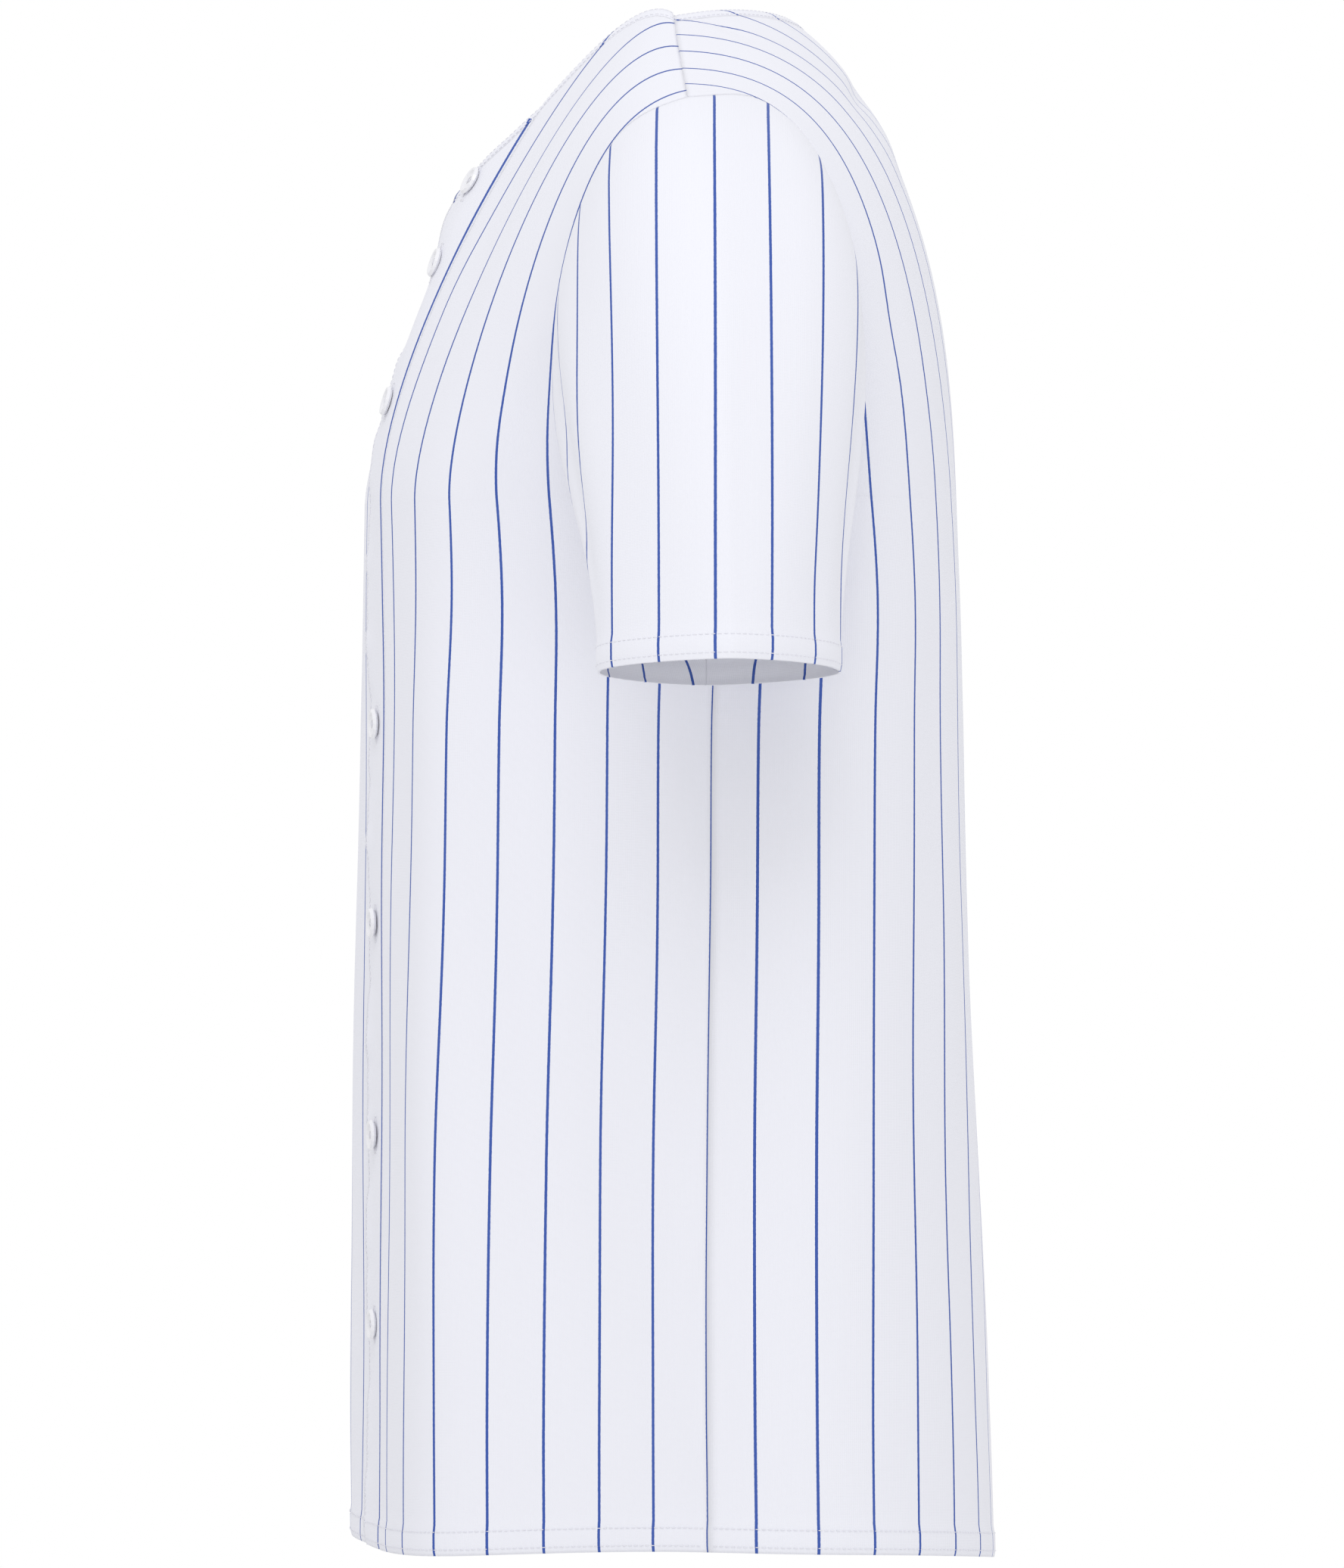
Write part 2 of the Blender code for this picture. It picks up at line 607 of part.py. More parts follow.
def button(name, height, material):
    """A four-hole button with a raised rim, laid on the button band."""
    place = front_place(1.0)
    step = step_at_height(place, 0.0, height)
    near_cloth, near_step = 0.005, 0.02

    def on_band(across, level):
        return lifted(place, across, level, form_normal(place, across, level, 1.0), lap_lift)

    here = on_band(0.0, step)
    across = on_band(near_cloth, step) - on_band(-near_cloth, step)
    up = on_band(0.0, step + near_step) - on_band(0.0, step - near_step)
    out = across.cross(up).normalized()
    up.normalize()
    right = up.cross(out).normalized()
    frame = Matrix((right, up, out)).transposed().to_4x4()
    frame.translation = here + out * BUTTON_GAP
    mesh = bmesh.new()
    profile = ((0.0, 0.0), (0.82, 0.0), (1.0, 0.45), (0.88, 1.0), (0.74, 0.92), (0.62, 0.60), (0.0, 0.55))
    segments = 16
    rings = []
    for radius, rise in profile:
        if radius == 0.0:
            rings.append([mesh.verts.new((0.0, 0.0, rise * BUTTON_THICK))])
            continue
        ring = []
        for k in range(segments):
            angle = 2.0 * math.pi * k / segments
            ring.append(mesh.verts.new((radius * BUTTON_RADIUS * math.cos(angle),
                                        radius * BUTTON_RADIUS * math.sin(angle), rise * BUTTON_THICK)))
        rings.append(ring)
    for low, high in zip(rings, rings[1:]):
        for k in range(segments):
            n = (k + 1) % segments
            if len(low) == 1:
                mesh.faces.new((low[0], high[n], high[k]))
            elif len(high) == 1:
                mesh.faces.new((low[k], low[n], high[0]))
            else:
                mesh.faces.new((low[k], low[n], high[n], high[k]))
    item = finish_object(name, mesh, material)
    item.matrix_world = frame
    hole_cutter(item, frame)
    return item


def hole_cutter(item, frame):
    """Cut the four thread holes through a button."""
    mesh = bmesh.new()
    for k in range(4):
        angle = math.pi * (0.25 + 0.5 * k)
        centre = Matrix.Translation((0.0021 * math.cos(angle), 0.0021 * math.sin(angle), 0.0))
        bmesh.ops.create_cone(mesh, cap_ends=True, segments=6, radius1=0.0008, radius2=0.0008,
                              depth=BUTTON_THICK * 4.0, matrix=centre)
    data = bpy.data.meshes.new(item.name + "_holes")
    mesh.to_mesh(data)
    mesh.free()
    cutter = bpy.data.objects.new(item.name + "_holes", data)
    bpy.context.scene.collection.objects.link(cutter)
    cutter.matrix_world = frame
    cutter.hide_render = True
    cutter.display_type = "WIRE"
    cut = item.modifiers.new("holes", "BOOLEAN")
    cut.operation = "DIFFERENCE"
    cut.solver = "EXACT"
    cut.object = cutter


def step_at_height(place, across, height):
    """The height step at which a grain line of the front passes a height."""
    low, high = -1.0, 0.9
    for _ in range(40):
        middle = (low + high) / 2.0
        if place(across, middle).z < height:
            low = middle
        else:
            high = middle
    return (low + high) / 2.0


def build():
    clear_scene()
    base = bpy.data.objects.new("jersey", None)
    bpy.context.scene.collection.objects.link(base)
    pieces = (
        ("back", lambda name, material: back_panel(name, material)),
        ("front_left", lambda name, material: front_panel(name, 1.0, material)),
        ("front_right", lambda name, material: front_panel(name, -1.0, material)),
        ("placket_left", lambda name, material: placket(name, 1.0, material)),
        ("placket_right", lambda name, material: placket(name, -1.0, material)),
        ("neckband", lambda name, material: neckband(name, material)),
        ("sleeve_left", lambda name, material: sleeve(name, 1.0, material)),
        ("sleeve_right", lambda name, material: sleeve(name, -1.0, material)),
    )
    for name, make in pieces:
        make(name, plain_material(name + "_cloth", CLOTH_COLOUR, 0.75))
    for k, height in enumerate(BUTTON_HEIGHTS, start=1):
        name = f"button_{k}"
        button(name, height, plain_material(name + "_resin", BUTTON_COLOUR, 0.35))


build()
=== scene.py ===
"""Looks of the baseball jersey: cloth shells, pinstripes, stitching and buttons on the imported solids."""

import math

import bpy
import numpy as np
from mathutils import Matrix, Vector


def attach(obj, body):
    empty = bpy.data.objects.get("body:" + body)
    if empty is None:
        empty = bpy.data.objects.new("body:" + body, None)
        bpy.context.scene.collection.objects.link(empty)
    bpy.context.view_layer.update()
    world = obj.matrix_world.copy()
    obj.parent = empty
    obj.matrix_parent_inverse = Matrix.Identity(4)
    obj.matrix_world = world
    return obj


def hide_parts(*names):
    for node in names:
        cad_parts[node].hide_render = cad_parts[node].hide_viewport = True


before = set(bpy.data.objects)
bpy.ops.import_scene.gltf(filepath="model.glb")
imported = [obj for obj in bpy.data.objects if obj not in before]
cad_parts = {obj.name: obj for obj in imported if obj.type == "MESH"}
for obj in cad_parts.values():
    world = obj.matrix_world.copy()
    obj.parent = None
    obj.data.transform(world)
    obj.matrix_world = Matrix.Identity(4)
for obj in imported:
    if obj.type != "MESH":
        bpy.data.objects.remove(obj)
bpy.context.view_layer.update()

# Garment form, in metres: the same sizes that the solids are built from
LAP_LIFT = 0.0026
PLACKET_HALF = 0.0165
UNDERARM_Z = -0.250
FRONT_QUARTER = 0.245
BODY_TURN = math.radians(6.1)
TURN_START_Z = -0.330
HEM_FRONT_Z = -0.776
HEM_SIDE_RISE = 0.010
HEM_BACK_DROP = 0.008
SECTIONS = (
    # z, front y, corner x y, flank x y, side x y, rear x y, back y
    (-0.790, -0.150, 0.092, -0.142, 0.137, -0.080, 0.200, 0.014, 0.164, 0.107, 0.160),
    (-0.700, -0.149, 0.091, -0.143, 0.137, -0.080, 0.202, 0.014, 0.164, 0.106, 0.156),
    (-0.570, -0.149, 0.092, -0.141, 0.136, -0.081, 0.207, 0.016, 0.166, 0.102, 0.149),
    (-0.455, -0.149, 0.091, -0.138, 0.134, -0.082, 0.210, 0.017, 0.168, 0.100, 0.142),
    (-0.360, -0.148, 0.090, -0.137, 0.134, -0.082, 0.213, 0.020, 0.169, 0.099, 0.138),
    (-0.295, -0.149, 0.088, -0.135, 0.137, -0.081, 0.214, 0.029, 0.168, 0.099, 0.138),
    (-0.225, -0.149, 0.088, -0.135, 0.141, -0.081, 0.210, 0.030, 0.166, 0.098, 0.138),
)
NECK_POINT_X = 0.075
RIDGE_NECK_Y = -0.0022
RIDGE_NECK_Z = -0.006
RIDGE_SLOPE = 0.447
RIDGE_TURN = 0.057
RIDGE_ROUND = 0.030
RIDGE_NORMAL_START = 0.88
TIP_FRONT = 0.165
TIP_BACK = 0.254
BACK_RIDGE_SCALE = 0.736
FRONT_RIDGE_STEP = 0.022
ARMHOLE_FRONT = 0.157
ARMHOLE_BACK = 0.229
ARMHOLE_CURVE_TOP = 0.50
ARMHOLE_TIP_START = 0.80
CENTRE_ROUND = 0.006
CENTRE_FADE = 0.020
TANGENT_STEP = 0.03
BACK_RISE = 0.130
# Edges of the neckline: step at the lowest point, cloth at the shoulder seam, power of the climb
FRONT_NECK = (0.480, 0.053, 1.75)
FRONT_BAND = (0.456, 0.0627, 1.55)
BACK_NECK = (0.775, 0.102, 1.73)
BACK_BAND = (0.745, 0.114, 1.73)
FLARE = 0.0105
FLARE_POWER = 1.6
FLARE_LOW_Z = -0.145
FLARE_HIGH_Z = -0.105
CUFF_CENTRE = (0.2715, -0.008, -0.337)
CUFF_HALF_OUT = 0.052
CUFF_HALF_DEEP = 0.059
CUFF_POWER = 1.4
CUFF_TILT = 0.006
CHEST_START = 0.32
BUTTON_HEIGHTS = (-0.089, -0.129, -0.1985, -0.3605, -0.461, -0.568, -0.6635)
BUTTON_GAP = 0.0006
BUTTON_FACE = 0.0016
SLEEVE_START_GAP = 0.0006

# Looks, in metres
CLOTH_THICK = 0.0010
STRIPE_PITCH = 0.0297
STRIPE_WIDTH = 0.00150
BAND_STRIPE = 0.0147
BAND_PITCH = 0.040
FRONT_STRIPE = 0.0371
BACK_STRIPE = -0.0079
# the sleeve's middle stripe hangs in an upright plane: y there = first + second * x
SLEEVE_STRIPE_PLANE = (0.0232, -0.1228)
SECTION_STEP = 0.005
SECTION_LOW = -0.800
SECTION_HIGH = -0.200
AROUND_SAMPLES = 720


def smooth(low, high, value):
    part = np.clip((value - low) / (high - low), 0.0, 1.0)
    return part * part * (3.0 - 2.0 * part)


def closed_spline(points, samples):
    knots = np.array(points, dtype=float)
    count = len(knots)
    step = np.linalg.norm(np.roll(knots, -1, axis=0) - knots, axis=1) ** 0.7
    matrix = np.zeros((count, count))
    right = np.zeros((count, 2))
    for k in range(count):
        before, after = (k - 1) % count, (k + 1) % count
        matrix[k, before] = step[before]
        matrix[k, k] = 2.0 * (step[before] + step[k])
        matrix[k, after] = step[k]
        right[k] = 6.0 * ((knots[after] - knots[k]) / step[k] - (knots[k] - knots[before]) / step[before])
    bend = np.linalg.solve(matrix, right)
    starts = np.concatenate(([0.0], np.cumsum(step)))
    place = np.linspace(0.0, starts[-1], samples + 1)
    k = np.clip(np.searchsorted(starts, place, side="right") - 1, 0, count - 1)
    after = (k + 1) % count
    h = step[k]
    a = ((starts[k] + h - place) / h)[:, None]
    b = 1.0 - a
    curve = a * knots[k] + b * knots[after]
    return curve + ((a ** 3 - a) * bend[k] + (b ** 3 - b) * bend[after]) * (h * h)[:, None] / 6.0


def section_row(z):
    rows = np.array(SECTIONS)
    heights = rows[:, 0]
    k = int(np.clip(np.searchsorted(heights, z) - 1, 0, len(heights) - 2))
    t = np.clip((z - heights[k]) / (heights[k + 1] - heights[k]), 0.0, 1.0)
    first, last = rows[k], rows[k + 1]
    low, high = rows[max(k - 1, 0)], rows[min(k + 2, len(rows) - 1)]
    return 0.5 * (2.0 * first + (last - low) * t + (2.0 * low - 5.0 * first + 4.0 * last - high) * t ** 2
                  + (3.0 * first - low - 3.0 * last + high) * t ** 3)


def even_section(z):
    """The closed section at a height as points at even cloth distances, and its whole length."""
    _, front, cx, cy, fx, fy, sx, sy, rx, ry, back = section_row(z)
    half = [(cx, cy), (fx, fy), (sx, sy), (rx, ry)]
    knots = [(0.0, front)] + half + [(0.0, back)] + [(-x, y) for x, y in reversed(half)]
    curve = closed_spline(knots, AROUND_SAMPLES)
    run = np.concatenate(([0.0], np.cumsum(np.linalg.norm(np.diff(curve, axis=0), axis=1))))
    even = np.linspace(0.0, run[-1], AROUND_SAMPLES + 1)
    return np.stack([np.interp(even, run, curve[:, 0]), np.interp(even, run, curve[:, 1])], axis=1), run[-1]


HEIGHTS = np.arange(SECTION_LOW, SECTION_HIGH + SECTION_STEP / 2.0, SECTION_STEP)
EVEN = [even_section(z) for z in HEIGHTS]
EVEN_POINTS = np.array([points for points, _ in EVEN])
EVEN_LENGTH = np.array([length for _, length in EVEN])


def half_round(z):
    return np.interp(z, HEIGHTS, EVEN_LENGTH) / 2.0


def body_point(run, z):
    """Points of the body tube, a run of cloth from the centre front towards the wearer's left."""
    run, z = np.broadcast_arrays(np.asarray(run, float), np.asarray(z, float))
    level = np.clip((z - SECTION_LOW) / SECTION_STEP, 0.0, len(HEIGHTS) - 1.001)
    low = level.astype(int)
    rise = (level - low)[..., None]
    place = (run / (2.0 * half_round(z)) % 1.0) * AROUND_SAMPLES
    k = np.minimum(place.astype(int), AROUND_SAMPLES - 1)
    part = (place - k)[..., None]

    def at(row):
        return EVEN_POINTS[row, k] * (1.0 - part) + EVEN_POINTS[row, k + 1] * part

    flat = at(low) * (1.0 - rise) + at(low + 1) * rise
    angle = BODY_TURN * (1.0 - smooth(TURN_START_Z, 0.0, z))
    x, y = flat[..., 0], flat[..., 1]
    across, deep = np.cos(angle), np.sin(angle)
    return np.stack([x * across - y * deep, x * deep + y * across, z], axis=-1)


def ridge_point(x):
    reach = np.hypot(x, RIDGE_ROUND) - math.hypot(NECK_POINT_X, RIDGE_ROUND)
    return np.stack([x, RIDGE_NECK_Y - RIDGE_TURN * x, RIDGE_NECK_Z - RIDGE_SLOPE * reach], axis=-1)


def bezier(start, first, second, end, t):
    t = np.asarray(t, float)[..., None]
    s = 1.0 - t
    return start * s ** 3 + first * (3.0 * s * s * t) + second * (3.0 * s * t * t) + end * t ** 3


def lean(y, z):
    y, z = np.broadcast_arrays(y, z)
    return np.stack([np.zeros_like(y), y, z], axis=-1)


def rise_tangent(start, run):
    """How the tube leans where it meets the chest, for each metre of height."""
    return (start - body_point(run, UNDERARM_Z - TANGENT_STEP)) / TANGENT_STEP


def front_line(across, step):
    side = np.where(across >= 0.0, 1.0, -1.0)
    cloth = np.abs(across)
    start = body_point(across, UNDERARM_Z)
    end = ridge_point(side * (cloth + FRONT_RIDGE_STEP * (1.0 - np.exp(-cloth / FRONT_RIDGE_STEP))))
    share = np.minimum(cloth / ARMHOLE_FRONT, 1.05)
    near_centre = np.exp((CENTRE_ROUND - np.hypot(across, CENTRE_ROUND)) / CENTRE_FADE)
    rise = 0.085 - 0.045 * share
    reach = 0.126 * share - 0.044 * share ** 2 - 0.009 + 0.054 * near_centre
    drop = 0.028 * share ** 3 - 0.012 + 0.012 * near_centre
    first = start + rise_tangent(start, across) * rise[..., None]
    second = end - lean(reach, drop)
    return bezier(start, first, second, end, step)


def back_run(across, z):
    """Cloth from the centre front to a grain line of the back, at a height of the body tube."""
    share = across / (half_round(UNDERARM_Z) - FRONT_QUARTER)
    return half_round(z) - share * (half_round(z) - FRONT_QUARTER)


def back_line(across, step):
    start = body_point(back_run(across, UNDERARM_Z), UNDERARM_Z)
    end = ridge_point(across * BACK_RIDGE_SCALE)
    share = np.minimum(np.abs(across) / ARMHOLE_BACK, 1.3)
    first = start + rise_tangent(start, back_run(across, UNDERARM_Z - TANGENT_STEP)) * BACK_RISE
    second = end + lean(0.120 - 0.040 * share ** 1.5, -0.003 + 0.003 * share)
    return bezier(start, first, second, end, step)


def armhole_edge(mid, underarm, tip, step):
    left = 1.0 - np.clip(step, 0.0, ARMHOLE_CURVE_TOP) / ARMHOLE_CURVE_TOP
    edge = mid + (underarm - mid) * (1.0 - np.sqrt(np.maximum(1.0 - left * left, 0.0)))
    return edge + (tip - mid) * smooth(ARMHOLE_TIP_START, 1.0, step)


def front_neck_height(across, low_step, shoulder_cloth, power):
    share = np.clip((across + PLACKET_HALF) / (shoulder_cloth + PLACKET_HALF), 0.0, 1.0)
    return low_step + (1.0 - low_step) * share ** power


def back_neck_height(across, low_step, shoulder_cloth, power):
    return low_step + (1.0 - low_step) * np.minimum(np.abs(across) / shoulder_cloth, 1.0) ** power


def lap_lift(across, z):
    lift = LAP_LIFT * (1.0 - smooth(PLACKET_HALF, 0.070, across))
    from_seam = np.clip((PLACKET_HALF - across) / (2.0 * PLACKET_HALF), 0.0, None)
    return lift + FLARE * from_seam ** FLARE_POWER * smooth(FLARE_LOW_Z, FLARE_HIGH_Z, z)


def tube_height(step, share):
    side_rise = HEM_SIDE_RISE * np.sin(np.pi * np.minimum(share / 1.05, 1.0)) ** 2
    low = HEM_FRONT_Z + side_rise - HEM_BACK_DROP * smooth(0.35, 1.0, share)
    return low + (UNDERARM_Z - low) * (1.0 + step)


def front_place(side):
    def place(across, step):
        tube = body_point(side * across, tube_height(step, np.abs(across) / half_round(UNDERARM_Z)))
        chest = front_line(side * across, np.maximum(step, 0.0))
        return np.where((step < 0.0)[..., None], tube, chest)
    return place


def back_place(across, step):
    z = tube_height(step, 1.0 - np.abs(across) / half_round(UNDERARM_Z))
    tube = body_point(back_run(across, z), z)
    return np.where((step < 0.0)[..., None], tube, back_line(across, np.maximum(step, 0.0)))


def front_edge(step):
    return armhole_edge(ARMHOLE_FRONT, FRONT_QUARTER, TIP_FRONT, step)


def back_edge(step):
    return armhole_edge(ARMHOLE_BACK, half_round(UNDERARM_Z) - FRONT_QUARTER, TIP_BACK, step)


def form_normal(place, across, step, outward):
    near_cloth, near_step = 0.002, 0.004
    sideways = place(across + near_cloth, step) - place(across - near_cloth, step)
    upward = place(across, step + near_step) - place(across, step - near_step)
    normal = np.cross(sideways, upward) * outward
    normal /= np.linalg.norm(normal, axis=-1, keepdims=True)
    side = np.where(place(across, step)[..., 0] >= 0.0, 1.0, -1.0)
    ridge = np.stack([side * RIDGE_SLOPE, np.zeros_like(side), np.ones_like(side)], axis=-1)
    share = smooth(RIDGE_NORMAL_START, 1.0, step)[..., None]
    normal = normal * (1.0 - share) + ridge / math.hypot(RIDGE_SLOPE, 1.0) * share
    return normal / np.linalg.norm(normal, axis=-1, keepdims=True)


# Soft folds of the body cloth: place round the body in mm from the centre front (wearer's left +),
# height in mm, half width and half length in mm, slant (mm round for each mm up), depth in mm
BODY_FOLDS = (
    (118, -500, 20, 190, -0.05, -2.4),
    (86, -520, 18, 190, -0.05, 1.6),
    (152, -430, 20, 120, -0.10, -1.2),
    (196, -520, 22, 170, 0.04, 1.2),
    (236, -420, 7, 60, 0.10, -1.3),
    (252, -455, 7, 50, -0.12, -1.1),
    (238, -610, 8, 60, 0.08, -1.0),
    (232, -745, 9, 26, 0.25, -1.1),
    (256, -700, 8, 40, -0.10, -0.9),
    (320, -560, 26, 180, 0.03, 1.5),
    (372, -420, 22, 150, 0.08, -1.5),
    (430, -600, 26, 160, -0.05, 1.6),
    (500, -420, 24, 190, 0.04, -1.6),
    (-60, -560, 22, 180, 0.05, 1.4),
    (-104, -480, 18, 170, 0.05, -2.2),
    (-165, -560, 24, 160, -0.08, 1.5),
    (-230, -440, 12, 90, 0.10, -1.6),
    (-238, -620, 8, 60, -0.08, -1.0),
    (-310, -520, 26, 180, 0.05, -1.6),
    (-390, -600, 26, 150, 0.06, 1.6),
    (-460, -430, 24, 170, -0.06, -1.5),
)
# Folds of the upper body: world x, y, z of the middle, direction, half length, half width, depth, in mm
DRAPE_FOLDS = (
    # soft hollow below the back neck, and the small one beside the shoulder seam
    ((34, 96, -40), (1.0, -0.30, -0.30), 52, 8, -2.8),
    ((-38, 92, -42), (1.0, 0.30, 0.30), 50, 8, -2.5),
    ((40, 112, -62), (1.0, -0.30, -0.35), 52, 11, 1.5),
    ((-44, 108, -66), (1.0, 0.30, 0.35), 52, 11, 1.4),
    ((82, 16, -14), (0.6, 0.8, -0.25), 16, 5, -1.2),
    # pull lines from the armholes
    ((150, -86, -190), (-0.55, 0.0, -0.85), 60, 12, -2.0),
    ((135, -100, -210), (-0.55, 0.0, -0.85), 55, 11, 1.4),
    ((-150, -86, -195), (0.55, 0.0, -0.85), 60, 12, -2.0),
    ((-132, -102, -215), (0.55, 0.0, -0.85), 55, 11, 1.4),
    ((158, 92, -190), (-0.4, 0.0, -0.92), 70, 13, -2.2),
    ((-158, 92, -190), (0.4, 0.0, -0.92), 70, 13, -2.2),
    ((60, -110, -165), (0.25, 0.0, -1.0), 70, 16, 1.2),
    ((-66, -110, -175), (-0.25, 0.0, -1.0), 70, 16, 1.2),
)
HEM_ROLL = 0.0007
HEM_DEPTH = 0.0145


def body_depth(around, points):
    """How far the body cloth stands out from the form at each place."""
    z = points[..., 2]
    depth = np.zeros(z.shape)
    for centre, height, wide, long, slant, rise in BODY_FOLDS:
        centre, height, wide, long, rise = (value / 1000.0 for value in (centre, height, wide, long, rise))
        off = (around - centre - slant * (z - height)) / wide
        depth += rise * np.exp(-off * off) * np.exp(-((z - height) / long) ** 2)
    for middle, way, long, wide, rise in DRAPE_FOLDS:
        way = np.array(way) / np.linalg.norm(way)
        offset = points - np.array(middle) / 1000.0
        along = offset @ way
        aside = np.linalg.norm(offset - along[..., None] * way, axis=-1)
        depth += rise / 1000.0 * np.exp(-(along * 1000.0 / long) ** 2 - (aside * 1000.0 / wide) ** 2)
    # slow unevenness of the whole cloth
    depth += 0.0007 * np.sin(around * 41.0 + z * 9.0) * np.sin(z * 17.0 + around * 13.0 + 0.7)
    return depth


def hem_puff(from_edge):
    """The turned hem is a little thicker than the cloth above it."""
    inside = 1.0 - smooth(HEM_DEPTH - 0.0025, HEM_DEPTH, from_edge)
    return HEM_ROLL * smooth(0.0, 0.003, from_edge) * inside


def new_mesh(name, points, faces, material, uv=None):
    data = bpy.data.meshes.new(name)
    data.from_pydata([tuple(p) for p in points], [], faces)
    data.materials.append(material)
    for map_name, values in (uv or {}).items():
        layer = data.uv_layers.new(name=map_name)
        loops = np.zeros(len(data.loops), dtype=np.int32)
        data.loops.foreach_get("vertex_index", loops)
        layer.data.foreach_set("uv", values[loops].astype(np.float32).ravel())
    data.polygons.foreach_set("use_smooth", [True] * len(data.polygons))
    data.update()
    item = bpy.data.objects.new(name, data)
    bpy.context.scene.collection.objects.link(item)
    return item


def shell(name, outer, normal, stripe, cloth, material, thick=CLOTH_THICK):
    """A thin closed shell of cloth below a grid of points, with stripe and cloth coordinates."""
    rows, columns = outer.shape[:2]
    inner = outer - normal * thick
    points = np.concatenate([outer.reshape(-1, 3), inner.reshape(-1, 3)])
    count = rows * columns
    i, k = np.meshgrid(np.arange(rows - 1), np.arange(columns - 1), indexing="ij")
    low, high = i * columns + k, (i + 1) * columns + k
    face = np.stack([low, low + 1, high + 1, high], axis=-1).reshape(-1, 4)
    corner = [Vector(outer[0, 0]), Vector(outer[0, 1]), Vector(outer[1, 0])]
    faces_out = (corner[1] - corner[0]).cross(corner[2] - corner[0]).dot(Vector(normal[0, 0])) > 0.0
    outside = face if faces_out else face[:, ::-1]
    inside = (face[:, ::-1] if faces_out else face) + count
    faces = [tuple(f) for f in np.concatenate([outside, inside])]
    border = [(0, c) for c in range(columns)]
    border += [(r, columns - 1) for r in range(1, rows)]
    border += [(rows - 1, c) for c in reversed(range(columns - 1))]
    border += [(r, 0) for r in reversed(range(rows - 1))]
    for here, there in zip(border, border[1:]):
        a, b = here[0] * columns + here[1], there[0] * columns + there[1]
        quad = (a + count, b + count, b, a)
        faces.append(quad if faces_out else quad[::-1])
    uv = {"stripe": np.concatenate([stripe.reshape(-1, 2)] * 2),
          "cloth": np.concatenate([cloth.reshape(-1, 2)] * 2)}
    return new_mesh(name, points, faces, material, uv)


# Materials

CLOTH_WHITE = (0.83, 0.835, 0.90, 1.0)
STRIPE_BLUE = (0.045, 0.10, 0.40, 1.0)
RESIN_WHITES = ((0.80, 0.80, 0.84, 1.0), (0.90, 0.90, 0.93, 1.0))
THREAD_WHITES = ((0.76, 0.76, 0.82, 1.0), (0.86, 0.86, 0.91, 1.0))


def node_tree(name):
    material = bpy.data.materials.new(name)
    material.use_nodes = True
    tree = material.node_tree
    shader = tree.nodes["Principled BSDF"]
    return material, tree, shader


def math_node(tree, operation, first, second=None, third=None):
    node = tree.nodes.new("ShaderNodeMath")
    node.operation = operation
    for slot, value in zip(node.inputs, (first, second, third)):
        if value is None:
            continue
        if isinstance(value, (int, float)):
            slot.default_value = value
        else:
            tree.links.new(value, slot)
    return node.outputs[0]


